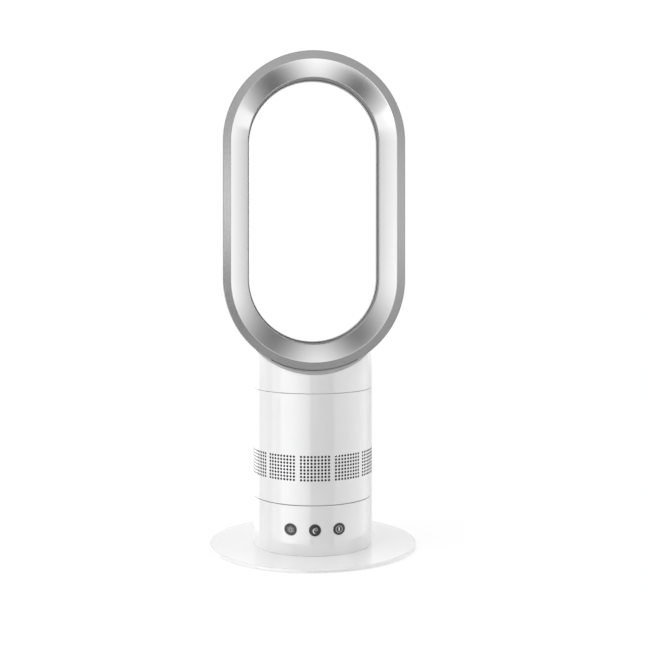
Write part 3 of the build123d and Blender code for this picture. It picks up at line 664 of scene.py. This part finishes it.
def air_holes(radius, inside):
    """One wall face of every hole's cell: a rectangle's edge and the hole's circle within it, both
    laid out as (turn, height). Returns the patch and the circles' points."""
    group, column, row = (n.reshape(-1, 1, 1) for n in
                          np.meshgrid(np.arange(GROUPS), np.arange(HOLE_COLUMNS), np.arange(HOLE_ROWS)))
    turn = -90 + group * 360 / GROUPS + (column + 0.5 - HOLE_COLUMNS / 2) * HOLE_TURN
    height = HOLES_LOW + (row + 0.5) * HOLE_RISE
    edge = cell_edge(-0.5, 0.5, -0.5, 0.5, CELL_STEPS)
    circle = circle_like(edge, (0, 0), AIR_HOLE)
    edge_turn = turn + edge[:, 0] * HOLE_TURN
    circle_turn = turn + np.degrees(circle[:, 0] / TOWER_RADIUS)
    turns = np.concatenate([edge_turn, circle_turn], 1)
    heights = np.concatenate([height + edge[:, 1] * HOLE_RISE, height + circle[:, 1]], 1)
    directions = turned_directions(turns)
    points = radius * directions + heights[..., None] * UP
    normals = -directions if inside else directions
    return patch(points, normals, close_columns=True, flip=inside, finish=int(inside)), points[:, 1]


def shell_patches():
    """The rims, floor and spindle as turned outlines, the band of holes, posts and ledges."""
    spread = HOLE_COLUMNS * HOLE_TURN
    starts = -90 + np.arange(GROUPS)[:, None] * 360 / GROUPS - spread / 2
    in_group = starts + np.arange(CELL_STEPS * HOLE_COLUMNS) * HOLE_TURN / CELL_STEPS
    gap = starts + spread + np.arange(CELL_STEPS) * (360 / GROUPS - spread) / CELL_STEPS
    directions = turned_directions(np.concatenate([in_group, gap], 1).ravel())
    high = HOLES_LOW + HOLE_ROWS * HOLE_RISE
    spindle_end = SPINDLE - SPINDLE_STEP
    outlines = [
        ([(TOWER_RADIUS, high, 0), (TOWER_RADIUS, SHELL_TOP, SEAM_EDGE), (WHITE_END, SHELL_TOP, 0)], 0),
        ([(WHITE_END, SHELL_TOP, 0), (SHELL_INNER, SHELL_TOP, SMALL_EDGE), (SHELL_INNER, high, 0)], 1),
        ([(SHELL_INNER, HOLES_LOW, 0), (SHELL_INNER, FLOOR_TOP, SOFT_EDGE),
          (SPINDLE_BORE, FLOOR_TOP, MOULDED_EDGE), (SPINDLE_BORE, shell_low.z, FINE_EDGE),
          (spindle_end, shell_low.z, MOULDED_EDGE), (spindle_end, BEARING_BOTTOM, FINE_EDGE),
          (SPINDLE, BEARING_BOTTOM, FINE_EDGE), (SPINDLE, SHELL_BOTTOM, MOULDED_EDGE),
          (WHITE_END, SHELL_BOTTOM, 0)], 1),
        ([(WHITE_END, SHELL_BOTTOM, 0), (TOWER_RADIUS, SHELL_BOTTOM, SEAM_EDGE),
          (TOWER_RADIUS, HOLES_LOW, 0)], 0),
    ]
    patches = [turned(rounded(corners), directions, finish) for corners, finish in outlines]
    levels = np.linspace(HOLES_LOW, high, CELL_STEPS * HOLE_ROWS + 1)
    for start in starts[:, 0]:
        between = np.linspace(start + spread, start + 360 / GROUPS, CELL_STEPS + 1)
        patches.append(wall(levels, between, TOWER_RADIUS))
        patches.append(wall(levels, between, SHELL_INNER, inside=True, finish=1))
    outside, outer_circles = air_holes(TOWER_RADIUS, False)
    inside, inner_circles = air_holes(SHELL_INNER, True)
    centres = outer_circles.mean(1, keepdims=True)
    toward = centres - outer_circles
    toward /= np.linalg.norm(toward, axis=-1, keepdims=True)
    bores = np.stack([outer_circles, inner_circles], 1)
    # The holes' bores take the near-black lining: painted shade inside the holes.
    patches += [outside, inside, patch(bores, np.stack([toward, toward], 1), close_columns=True, finish=1)]
    corners = np.array([(x, y, 0) for x in (-POST_PLACE, POST_PLACE) for y in (-POST_PLACE, POST_PLACE)])
    patches += blocks(corners - (POST, POST, -FLOOR_TOP), corners + (POST, POST, POST_TOP), finish=1)
    reach, width, thick = LEDGE
    for angle in LEDGE_ANGLES:
        patches += blocks((SHELL_INNER - reach, -width / 2, LEDGE_TOP - thick),
                          (SHELL_INNER + LEDGE_OVERLAP, width / 2, LEDGE_TOP), angle, finish=1)
    return patches


# The near-black lining is partly the inner plastic's own dark grey and partly painted shade.
dark_lining_and_shade = wandering("dark_lining_and_shade", (shade(0.008), shade(0.014)), (0.7, 0.8), 40, 1e-5, specular=0.1)
shell = piece("shell", shell_patches(), [gloss_white, dark_lining_and_shade])
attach(shell, "upper_body")
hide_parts("main_shell")


# ---------------------------------------------------------------- upper collar
# The short cylinder under the loop, in gloss white plastic, hollowed on top to the loop's outer
# wall, with four lugs below that hold it in the main shell.
front_low, front_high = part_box("loop_front_casing")
collar_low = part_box("upper_collar")[0]
LOOP_RADIUS = front_high.x
LOOP_LOW = front_low.z + LOOP_RADIUS
LOOP_HIGH = front_high.z - LOOP_RADIUS
LOOP_SEAT = 0.0001
TRIM_THICK = 0.0023
SADDLE_UPPER = LOOP_RADIUS + LOOP_SEAT
SADDLE_LOWER = SADDLE_UPPER + TRIM_THICK
COLLAR_WALL = 0.004
COLLAR_INNER = TOWER_RADIUS - COLLAR_WALL
COLLAR_SEAM = 0.0004
COLLAR_BOTTOM = SHELL_TOP + COLLAR_SEAM
COLLAR_RIM = 0.005
COLLAR_RING = COLLAR_BOTTOM + COLLAR_RIM
COLLAR_COLUMNS = 240
COLLAR_WALL_ROWS = 5
COLLAR_TOP_ROWS = 3
COLLAR_EDGE_ROWS = 4
LUG = (0.006, 0.014, 0.014)
LUG_ANGLES = (45, 135, 225, 315)
LUG_PLAY = 0.0002
LUG_BOTTOM = collar_low.z


def saddle(x, radius):
    """Height of the trough under the loop: its middle line less root(radius^2 - x^2)."""
    return LOOP_LOW - np.sqrt(radius**2 - x**2)


def collar_patches():
    """The turned lower rim, both faces of the wall up to the saddle, and the saddle's edge."""
    directions = turned_directions(np.arange(COLLAR_COLUMNS) * 360 / COLLAR_COLUMNS)
    rim = rounded([(COLLAR_INNER, COLLAR_RING, 0), (COLLAR_INNER, COLLAR_BOTTOM, SMALL_EDGE),
                   (TOWER_RADIUS, COLLAR_BOTTOM, SEAM_EDGE), (TOWER_RADIUS, COLLAR_RING, 0)])
    patches = [turned(rim, directions)]
    share = np.linspace(0, 1, COLLAR_WALL_ROWS)[:, None]
    soft = TOWER_RADIUS - SMALL_EDGE
    for radius, inside, drop in ((TOWER_RADIUS, False, SMALL_EDGE), (COLLAR_INNER, True, 0)):
        top = saddle(radius * directions[:, 0], SADDLE_LOWER) - drop
        levels = COLLAR_RING + share * (top - COLLAR_RING)
        normals = -directions if inside else directions
        patches.append(patch(radius * directions + levels[..., None] * UP, normals, close_columns=True,
                             flip=inside))
    radii = np.linspace(soft, COLLAR_INNER, COLLAR_TOP_ROWS)[:, None]
    x = radii * directions[:, 0]
    face = radii[..., None] * directions + saddle(x, SADDLE_LOWER)[..., None] * UP
    square = np.stack([-x, np.zeros_like(x), np.sqrt(SADDLE_LOWER**2 - x**2)], -1) / SADDLE_LOWER
    patches.append(patch(face, square, close_columns=True))
    bend = np.linspace(0, np.pi / 2, COLLAR_EDGE_ROWS)[:, None, None]
    low_edge = TOWER_RADIUS * directions
    low_edge = low_edge + (saddle(low_edge[:, :1], SADDLE_LOWER) - SMALL_EDGE) * UP
    edge = low_edge * np.cos(bend) ** 2 + face[0] * np.sin(bend) ** 2
    leaning = np.cos(bend) * directions + np.sin(bend) * square[0]
    leaning /= np.linalg.norm(leaning, axis=-1, keepdims=True)
    patches.append(patch(edge, leaning, close_columns=True))
    reach, width, tall = LUG
    outer = math.sqrt((SHELL_INNER - LUG_PLAY) ** 2 - (width / 2) ** 2)
    for angle in LUG_ANGLES:
        patches += blocks((outer - reach, -width / 2, LUG_BOTTOM), (outer, width / 2, LUG_BOTTOM + tall),
                          angle)
    return patches


collar = piece("collar", collar_patches(), [gloss_white])
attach(collar, "upper_body")
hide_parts("upper_collar")


# ---------------------------------------------------------------- trim on the saddle
# A thin dull grey skin, moulded to the loop's outer wall, that closes the joint between the loop
# and the collar. An oblong hole in its middle lets the neck through.
NECK_HOLE = (0.0382, 0.0352)
TRIM_COLUMNS = 40
TRIM_ROWS = 8


def trim_patches():
    """Upper and lower faces, rim and hole: flat points between a rectangle and the tower's
    circle, share by share, laid on the two saddles."""
    half_x, half_y = NECK_HOLE
    lean = math.degrees(math.atan2(half_y, half_x))
    spans = [(-lean, lean), (lean, 180 - lean), (180 - lean, 180 + lean), (180 + lean, 360 - lean)]
    angles = np.concatenate([np.linspace(a, b, TRIM_COLUMNS + 1)[:-1] for a, b in spans])
    directions = turned_directions(angles)
    reach = np.minimum(half_x / np.maximum(abs(directions[:, 0]), TINY),
                       half_y / np.maximum(abs(directions[:, 1]), TINY))
    share = np.linspace(0, 1, TRIM_ROWS)[:, None]
    radii = reach + (TOWER_RADIUS - reach) * share
    flat = radii[..., None] * directions
    x = flat[..., 0]
    upper = flat + saddle(x, SADDLE_UPPER)[..., None] * UP
    lower = flat + saddle(x, SADDLE_LOWER)[..., None] * UP
    square = np.stack([-x, np.zeros_like(x), np.sqrt(SADDLE_UPPER**2 - x**2)], -1) / SADDLE_UPPER
    rim = np.stack([lower[-1], upper[-1]])
    hole = np.stack([lower[0], upper[0]])
    return [patch(upper, square, close_columns=True, flip=True), patch(lower, -square, close_columns=True),
            patch(rim, directions, close_columns=True),
            patch(hole, -directions, close_columns=True, flip=True)]


trim_satin = wandering("trim_satin", (shade(0.43), shade(0.46)), (0.4, 0.5), 120, 3e-6, specular=0.25)
trim = piece("trim", trim_patches(), [trim_satin])
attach(trim, "upper_body")
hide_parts("saddle_trim")


# ---------------------------------------------------------------- loop, front casing
# The oval loop's front is one moulding in satin silver paint: outer wall, flat bezel and a slightly
# bowed inner slope. The bezel's rounded outer edge has a darker silver: painted shade, a dark line
# that outlines the loop. The straight throat behind the slope is bare dark grey plastic.
BEZEL_WIDTH = 0.0098
BEZEL_OUTER_EDGE = 0.0009
BEZEL_INNER_EDGE = 0.0010
EDGE_ARC = 0.97
CASING_WALL = 0.0022
CASING_FRONT = front_low.y
CASING_REAR = front_high.y
THROAT_RADIUS = 0.0784
SLOT_OUTER = 0.0793
SLOPE_DEPTH = 0.016
THROAT_FRONT = CASING_FRONT + SLOPE_DEPTH
THROAT_REAR = 0.008
THROAT_EDGE = 0.0009
THROAT_PAINTED = 0.0012
SLOPE_HALF_TURN = 2.0
SLOPE_POINTS = 12
LOOP_ARC_COLUMNS = 120
LOOP_SIDE_COLUMNS = 10
ALONG_Y = np.array([0.0, 1.0, 0.0])
FLAKES_PER_METRE = 2600
FLAKE_LIFT = 4e-6


def oval_path():
    """Centres and outward directions round the oval, clockwise seen from the front: the upper half
    circle, the right side downwards, the lower half circle and the left side upwards."""
    half = np.linspace(180, 0, LOOP_ARC_COLUMNS + 1)[:-1]
    down = np.linspace(LOOP_HIGH, LOOP_LOW, LOOP_SIDE_COLUMNS + 1)[:-1]
    up = np.linspace(LOOP_LOW, LOOP_HIGH, LOOP_SIDE_COLUMNS + 1)[:-1]
    angle = np.radians(np.concatenate([half, np.zeros(len(down)), half - 180, np.full(len(up), -180.0)]))
    height = np.concatenate([np.full(len(half), LOOP_HIGH), down, np.full(len(half), LOOP_LOW), up])
    outward = np.stack([np.cos(angle), np.zeros_like(angle), np.sin(angle)], -1)
    return height[:, None] * UP, outward


def round_the_oval(corners, finish=0):
    """A section's outline carried round the oval."""
    centres, outward = oval_path()
    points, normals = carried(rounded(corners), outward, ALONG_Y, centres)
    return patch(points, normals, close_columns=True, finish=finish)


def inner_slope():
    """Corners of the inner slope, an arc from the throat to the bezel. Its travel turns evenly about
    the straight line between them: radius = half the line / sin(half the turn)."""
    start = np.array([THROAT_RADIUS, THROAT_FRONT])
    line = np.array([LOOP_RADIUS - BEZEL_WIDTH, CASING_FRONT]) - start
    lean = math.atan2(line[0], -line[1])
    half_turn = math.radians(SLOPE_HALF_TURN)
    radius = np.linalg.norm(line) / 2 / math.sin(half_turn)
    first = lean - half_turn
    angle = np.linspace(first, lean + half_turn, SLOPE_POINTS)
    step = np.stack([math.cos(first) - np.cos(angle), math.sin(first) - np.sin(angle)], -1)
    edges = [THROAT_EDGE] + [0] * (SLOPE_POINTS - 2) + [BEZEL_INNER_EDGE]
    return [(*point, edge) for point, edge in zip(start + radius * step, edges)]


bezel_end = (LOOP_RADIUS - BEZEL_OUTER_EDGE, CASING_FRONT, 0)
side_start = (LOOP_RADIUS, CASING_FRONT + BEZEL_OUTER_EDGE, 0)
side_end = (LOOP_RADIUS - CASING_WALL, CASING_REAR, 0)
paint_end = (THROAT_RADIUS, THROAT_FRONT + THROAT_PAINTED, 0)
silver_outline = [paint_end, *inner_slope(), bezel_end]
edge_outline = [bezel_end, (LOOP_RADIUS, CASING_FRONT, EDGE_ARC * BEZEL_OUTER_EDGE), side_start]
side_outline = [side_start, (LOOP_RADIUS, CASING_REAR, FINE_EDGE), side_end]
dark_outline = [side_end, (LOOP_RADIUS - CASING_WALL, CASING_FRONT + CASING_WALL, FINE_EDGE),
                (LOOP_RADIUS - BEZEL_WIDTH + CASING_WALL / 2, CASING_FRONT + CASING_WALL, FINE_EDGE),
                (SLOT_OUTER + CASING_WALL, THROAT_FRONT + CASING_WALL / 2, MOULDED_EDGE),
                (SLOT_OUTER + CASING_WALL, THROAT_REAR, FINE_EDGE), (SLOT_OUTER, THROAT_REAR, FINE_EDGE),
                paint_end]


def own_node(material, kind):
    """The first node of a kind in a material."""
    return next(part for part in material.node_tree.nodes if part.type == kind)


def textured(material, kind, **inputs):
    """Adds a texture on Object coordinates to a material, and returns it."""
    place = own_node(material, "TEX_COORD").outputs["Object"]
    return node(material.node_tree, kind, Vector=place, **inputs)


def lifted(material, height, distance):
    """Lets another pattern lift a material's surface."""
    fed(material.node_tree, own_node(material, "BUMP"), Height=height, Distance=distance)
    return material


def silver_paint(name, shades):
    """Metal flake paint: a wandering grey metal that small cells, each at its own height, lift."""
    material = wandering(name, shades, (0.11, 0.15), 9, 0, metallic=1.0)
    flakes = textured(material, "TexVoronoi", Scale=FLAKES_PER_METRE)
    return lifted(material, flakes.outputs["Color"], FLAKE_LIFT)


silver = silver_paint("silver_paint", (shade(0.60), shade(0.635)))
# A darker silver on the bezel's outer edge: a painted shade line round the loop.
edge_shade_silver = silver_paint("edge_shade_silver", (shade(0.37), shade(0.40)))
throat_plastic = wandering("throat_plastic", (shade(0.18), shade(0.21)), (0.5, 0.6), 50, 5e-6, specular=0.25)
front_casing = piece("front_casing", [round_the_oval(silver_outline), round_the_oval(edge_outline, 2),
                                      round_the_oval(side_outline), round_the_oval(dark_outline, 1)],
                     [silver, throat_plastic, edge_shade_silver])
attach(front_casing, "upper_body")
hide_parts("loop_front_casing")


# ---------------------------------------------------------------- loop, rear ring
# A second moulding in the same paint closes the loop's back. Its outer edge is rounded. Its mouth
# narrows forwards to a grey lip inside the throat, and the air comes out between the two. The lip's
# mid grey, much lighter than the throat's plastic, is painted light that lifts it out of the throat's
# shade.
ring_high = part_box("loop_rear_ring")[1]
RING_REAR = ring_high.y
RING_EDGE = 0.0026
RING_JOINT = 0.09
MOUTH_RADIUS = 0.084
MOUTH_EDGE = 0.0015
LIP_RADIUS = 0.0781
LIP_WALL = 0.0007
LIP_OUTER = LIP_RADIUS + LIP_WALL
LIP_LENGTH = 0.009
LIP_FRONT = THROAT_REAR - LIP_LENGTH
LIP_EDGE = 0.0002
LIP_PAINTED = THROAT_REAR + 0.001
FUNNEL = [(LIP_RADIUS + 0.0014, THROAT_REAR + 0.010, 0), (LIP_RADIUS + 0.0004, THROAT_REAR + 0.004, 0)]

joint = (RING_JOINT, CASING_REAR, 0)
lip_paint_end = (LIP_RADIUS, LIP_PAINTED, 0)
ring_silver = [joint, (LOOP_RADIUS, CASING_REAR, FINE_EDGE), (LOOP_RADIUS, RING_REAR, RING_EDGE),
               (MOUTH_RADIUS, RING_REAR, MOUTH_EDGE), *FUNNEL, lip_paint_end]
ring_dark = [lip_paint_end, (LIP_RADIUS, LIP_FRONT, LIP_EDGE), (LIP_OUTER, LIP_FRONT, LIP_EDGE),
             (LIP_OUTER, THROAT_REAR, SOFT_EDGE), (MOUTH_RADIUS + CASING_WALL, CASING_REAR, FINE_EDGE), joint]
# The lip's mid grey is painted light: lighter than the throat's plastic, against the throat's shade.
lip_painted_light = wandering("lip_painted_light", (shade(0.46), shade(0.5)), (0.5, 0.6), 50, 5e-6, specular=0.3)
rear_ring = piece("rear_ring", [round_the_oval(ring_silver), round_the_oval(ring_dark, 1)],
                  [silver, lip_painted_light])
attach(rear_ring, "upper_body")
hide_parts("loop_rear_ring")


# ---------------------------------------------------------------- inner plastic parts
# The fan plate, impeller, motor mount, neck duct and the spacers in the air slot are moulded in one
# dull dark plastic with a fine spark-eroded grain.
inner_plastic = wandering("inner_plastic", (shade(0.09), shade(0.13)), (0.5, 0.65), 45, 2e-5)


def finish_nodes(material, *names):
    """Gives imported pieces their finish."""
    for name in names:
        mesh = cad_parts[name].data
        mesh.materials.clear()
        mesh.materials.append(material)


finish_nodes(inner_plastic, "fan_plate", "impeller", "motor_mount", "neck_duct", "slot_spacers")


# ---------------------------------------------------------------- swing gears and glide pads
# The toothed sector and its pinion are cream acetal with faint flow marks, and the glide pads are a
# whiter, waxy plastic let into the deck.
gear_plastic = wandering("gear_plastic", ((0.72, 0.7, 0.63), (0.78, 0.76, 0.7)), (0.3, 0.42), 70, 4e-6)
pad_plastic = wandering("pad_plastic", ((0.8, 0.8, 0.77), (0.86, 0.86, 0.84)), (0.35, 0.5), 90, 6e-6)
finish_nodes(gear_plastic, "swing_sector", "swing_pinion")
finish_nodes(pad_plastic, "glide_pads")


# ---------------------------------------------------------------- steel parts
# Screws, bracket, clip and shaft are zinc plated, with the coat's cloudy sheen. The two motors'
# cases are rolled steel with fine lines across them.
ROLLING_SCALE = 900
ROLLING_LIFT = 1e-5
ROLLING_BEND = 1.5
zinc = wandering("zinc", ((0.5, 0.51, 0.53), (0.6, 0.6, 0.6)), (0.25, 0.42), 160, 5e-6, metallic=1.0)
finish_nodes(zinc, "plate_screws", "bracket_screws", "swing_bracket", "spindle_clip", "motor_shaft")


def rolled_steel():
    """Steel with rolling lines: a band pattern across the upright, bent by noise, lifts it."""
    material = wandering("rolled_steel", (shade(0.42), shade(0.5)), (0.3, 0.45), 90, 0, metallic=1.0)
    lines = textured(material, "TexWave", Scale=ROLLING_SCALE, Distortion=ROLLING_BEND)
    lines.bands_direction = "Z"
    return lifted(material, lines.outputs["Fac"], ROLLING_LIFT)


finish_nodes(rolled_steel(), "fan_motor", "swing_motor")


# ---------------------------------------------------------------- circuit boards
# Glass-fibre boards under green lacquer, with the copper's pattern showing faintly through it and
# the boards' parts under the same coat.
LACQUER = ((0.02, 0.12, 0.045), (0.03, 0.17, 0.06))
LACQUER_PALE = (0.03, 0.2, 0.07, 1)
COPPER_LINE = (0.08, 0.3, 0.12, 1)
COPPER_SCALE = 130
COPPER_WIDTH = 0.06


def board_lacquer():
    """Green lacquer: the joints of a brick pattern give the copper lines, in a lighter shade."""
    material = wandering("board_lacquer", LACQUER, (0.25, 0.4), 60, 5e-6)
    green = own_node(material, "VALTORGB").outputs["Color"]
    copper = textured(material, "TexBrick", Scale=COPPER_SCALE, Mortar_Size=COPPER_WIDTH, Color1=green,
                      Color2=LACQUER_PALE, Mortar=COPPER_LINE)
    fed(material.node_tree, own_node(material, "BSDF_PRINCIPLED"), Base_Color=copper.outputs["Color"])
    return material


finish_nodes(board_lacquer(), "control_board", "power_board", "driver_board")


# ---------------------------------------------------------------- foam and feet
# The silencer is a cut slab of open-cell foam, so its surface is all small pits. The four feet are
# soft rubber pads, dull and slightly dusty.
foam = wandering("foam", (shade(0.045), shade(0.09)), (0.85, 0.95), 260, 4e-4)
foot_rubber = wandering("foot_rubber", (shade(0.03), shade(0.06)), (0.65, 0.85), 110, 3e-5)
finish_nodes(foam, "silencer_foam")
finish_nodes(foot_rubber, "rubber_feet")


# ---------------------------------------------------------------- floor
# A wide sheet of pale paper under the fan. It melts into the white behind and keeps only the fan's
# soft shadow.
FLOOR_SIDE = 12.0
FLOOR_SHADE = 0.8
FLOOR_GLOW = 0.74
FLOOR_FAINT = 0.32


def studio_floor():
    """A square floor. To the camera it is mostly an even white, and a diffuse share of it keeps the
    shadow. To every other ray it is plain and pale."""
    half = FLOOR_SIDE / 2
    corners = [(-half, -half, 0), (half, -half, 0), (half, half, 0), (-half, half, 0)]
    mesh = bpy.data.meshes.new("floor")
    mesh.from_pydata(corners, [], [(0, 1, 2, 3)])
    floor = bpy.data.objects.new("floor", mesh)
    bpy.context.scene.collection.objects.link(floor)
    material = bpy.data.materials.new("floor_paper")
    material.use_nodes = True
    tree = material.node_tree
    tree.nodes.clear()
    plain = node(tree, "BsdfDiffuse", Color=(*shade(FLOOR_SHADE), 1))
    faint = node(tree, "BsdfDiffuse", Color=(*shade(FLOOR_FAINT), 1))
    glow = node(tree, "Emission", Color=(*shade(FLOOR_GLOW), 1))
    seen = node(tree, "AddShader")
    put(tree, seen.inputs[0], faint.outputs["BSDF"])
    put(tree, seen.inputs[1], glow.outputs["Emission"])
    pick = node(tree, "MixShader", Fac=node(tree, "LightPath").outputs["Is Camera Ray"])
    put(tree, pick.inputs[1], plain.outputs["BSDF"])
    put(tree, pick.inputs[2], seen.outputs["Shader"])
    node(tree, "OutputMaterial", Surface=pick.outputs["Shader"])
    mesh.materials.append(material)
    floor.visible_glossy = False


studio_floor()


# ---------------------------------------------------------------- studio light
# A white studio with one wide soft lamp at the left. Its panels show in gloss alone, and each list
# gives their levels along one measure of a ray's direction: x to the right, y to the back, z up.

# Panels round the fan, by the angle in degrees about its front-to-back line: 0 is right, 90 is up.
PANELS = [(-180, 0.98), (-174, 1.06), (-130, 0.25), (-90, 0.97), (-50, 0.24), (-6, 1.08), (2, 1.1),
          (53, 0.3), (90, 0.86), (127, 0.3), (180, 0.98)]
PANEL_DARK = 0.25
PANEL_FADE = [(-1.0, 0.0), (-0.6, 0.0), (-0.42, 1.75), (0.02, 0.35), (1.0, 0.35)]
# Bands of light that upright walls show, by the bearing from the front: negative is left.
BANDS = [(-180, 1.0), (-165, 1.0), (-150, 1.9), (-131, 1.9), (-127, 0.7), (-88, 0.65), (-85, 1.35),
         (-72, 1.5), (-60, 2.8), (-40, 2.9), (-25, 2.4), (-8, 1.65), (-6, 0.2), (38, 0.2), (41, 1.0),
         (60, 1.25), (80, 1.55), (118, 1.6), (126, 1.2), (135, 0.9), (150, 0.8), (180, 1.0)]
BAND_GATE = [(-1.0, 0.0), (-0.36, 0.0), (-0.30, 1.0), (-0.115, 1.0), (-0.095, 0.0), (1.0, 0.0)]
# What flat faces show of the studio straight ahead, by height, in a left and a right part.
AHEAD_GATE = [(-1.0, 1.0), (-0.95, 1.0), (-0.8, 0.0), (1.0, 0.0)]
AHEAD_LEFT = [(-0.3, 0.5), (-0.08, 0.5), (-0.06, 0.24), (-0.022, 0.1), (-0.012, 1.1), (0.045, 0.95),
              (0.065, 1.3), (0.078, 0.35), (0.12, 0.61), (0.3, 0.61)]
AHEAD_RIGHT = [(-0.3, 0.5), (-0.06, 0.48), (-0.048, 0.42), (-0.034, 0.7), (0.08, 0.66), (0.1, 0.52),
               (0.12, 0.44), (0.3, 0.46)]
AHEAD_SPLIT = [(-0.3, 0.0), (0.055, 0.0), (0.09, 1.0), (0.3, 1.0)]
# The window low in the bands through which the bezel's lowest part still shows what is ahead.
BELOW_RISE = [(-0.3, 0.0), (-0.16, 0.0), (-0.14, 1.0), (0.3, 1.0)]
BELOW_SPAN = [(-0.3, 0.0), (-0.03, 0.0), (-0.01, 1.0), (0.09, 1.0), (0.12, 0.0), (0.3, 0.0)]
# A ring of light between the front and the sides, which rounded edges catch.
EDGE_GATE = [(-1.0, 0.0), (-0.8, 0.0), (-0.7, 1.0), (-0.46, 1.0), (-0.38, 0.0), (1.0, 0.0)]
EDGE_LIGHT = 1.7
BACK_GATE = [(-1.0, 0.0), (0.08, 0.0), (0.35, 1.0), (1.0, 1.0)]
BACK = [(-1.0, 1.15), (0.35, 1.15), (0.65, 0.3), (1.0, 0.3)]
# The light on dull surfaces: more from above, and most from both sides.
SKY = [(-1.0, 0.42), (0.0, 0.31), (0.3, 0.41), (1.0, 1.1)]
SKY_SIDES = [(-1.0, 3.6), (-0.8, 3.6), (-0.55, 0.64), (0.55, 0.64), (0.8, 3.3), (1.0, 3.3)]


def studio_world():
    """White to the camera, soft light to dull surfaces. To gloss, each list replaces what lies
    under it by its gate's share: panels, edge light, the view ahead, the white behind, the bands."""
    world = bpy.data.worlds.new("studio")
    bpy.context.scene.world = world
    world.use_nodes = True
    world.cycles.sampling_method = "NONE"
    tree = world.node_tree
    tree.nodes.clear()
    split = node(tree, "SeparateXYZ", Vector=node(tree, "TexCoord").outputs["Generated"])
    x, y, z = (split.outputs[axis] for axis in "XYZ")

    def maths(operation, *values):
        """One step of arithmetic on sockets and numbers."""
        step = node(tree, "Math")
        step.operation = operation
        for socket, value in zip(step.inputs, values):
            put(tree, socket, value)
        return step.outputs[0]

    def levels(value, stops):
        """A smooth curve through (value, level) stops, flat beyond the first and the last."""
        low, high = stops[0][0], stops[-1][0]
        spread = node(tree, "MapRange", Value=value, From_Min=low, From_Max=high)
        top = max(level for _, level in stops)
        ramp = node(tree, "ValToRGB", Fac=spread.outputs["Result"])
        ramp.color_ramp.interpolation = "EASE"
        elements = ramp.color_ramp.elements
        while len(elements) < len(stops):
            elements.new(0.5)
        for element, (at, level) in zip(elements, stops):
            element.position = (at - low) / (high - low)
            element.color = (*shade(level / top), 1)
        return maths("MULTIPLY", ramp.outputs["Color"], top)

    def mixed(share, a, b):
        """a + share * (b - a)."""
        return maths("MULTIPLY_ADD", share, maths("SUBTRACT", b, a), a)

    def angle(a, b):
        """The angle in degrees whose tangent is a / b."""
        return maths("DEGREES", maths("ARCTAN2", a, b))

    bands = levels(angle(x, maths("MULTIPLY", y, -1)), BANDS)
    ahead_gate = levels(y, AHEAD_GATE)
    ahead = mixed(levels(x, AHEAD_SPLIT), levels(z, AHEAD_LEFT), levels(z, AHEAD_RIGHT))
    gloss = mixed(levels(y, PANEL_FADE), PANEL_DARK, levels(angle(z, x), PANELS))
    gloss = mixed(levels(y, EDGE_GATE), gloss, EDGE_LIGHT)
    gloss = mixed(ahead_gate, gloss, ahead)
    gloss = mixed(levels(y, BACK_GATE), gloss, levels(z, BACK))
    gloss = mixed(levels(z, BAND_GATE), gloss, bands)
    below = maths("MULTIPLY", levels(z, BELOW_RISE), levels(x, BELOW_SPAN))
    gloss = mixed(maths("MULTIPLY", ahead_gate, below), gloss, ahead)
    dull = maths("MULTIPLY", levels(z, SKY), levels(x, SKY_SIDES))
    path = node(tree, "LightPath")
    light = mixed(path.outputs["Is Glossy Ray"], dull, gloss)
    light = mixed(path.outputs["Is Transmission Ray"], light, 1.0)
    light = mixed(path.outputs["Is Camera Ray"], light, 1.0)
    background = node(tree, "Background", Color=(*shade(1.0), 1), Strength=light)
    node(tree, "OutputWorld", Surface=background.outputs[0])


studio_world()

KEY_PLACE = (-1.8, -1.5, 1.5)
KEY_AIM = (0.0, 0.0, 0.2)
KEY_SIDE = 1.8
KEY_WATTS = 16.0
key = bpy.data.objects.new("key", bpy.data.lights.new("key", "AREA"))
key.data.size = KEY_SIDE
key.data.energy = KEY_WATTS
key.location = KEY_PLACE
aim = np.subtract(KEY_AIM, KEY_PLACE)
key.rotation_euler = (math.pi - math.acos(aim[2] / np.linalg.norm(aim)), 0, math.atan2(-aim[0], aim[1]))
key.visible_glossy = False
bpy.context.scene.collection.objects.link(key)


# ---------------------------------------------------------------- camera
# It stands a little below the loop's middle and sees the fan slightly from the left. It looks level
# and its picture is shifted down, so that upright lines stay upright.
CAMERA_AWAY = 1.4197
CAMERA_ASIDE = 0.0119
CAMERA_HEIGHT = 0.372
CAMERA_TURN = math.radians(-2.6)
LENS = 64.78
SENSOR = 36
HORIZON_PIXEL = 240.19
PICTURE_PIXELS = 645
camera = bpy.data.objects.new("camera", bpy.data.cameras.new("camera"))
camera.data.sensor_width = SENSOR
camera.data.lens = LENS
camera.data.shift_y = (HORIZON_PIXEL - PICTURE_PIXELS / 2) / PICTURE_PIXELS
camera.location = (CAMERA_ASIDE * math.cos(CAMERA_TURN) + CAMERA_AWAY * math.sin(CAMERA_TURN),
                   CAMERA_ASIDE * math.sin(CAMERA_TURN) - CAMERA_AWAY * math.cos(CAMERA_TURN), CAMERA_HEIGHT)
camera.rotation_euler = (math.pi / 2, 0, CAMERA_TURN)
bpy.context.scene.collection.objects.link(camera)
bpy.context.scene.camera = camera
bpy.context.scene.view_settings.view_transform = "Standard"
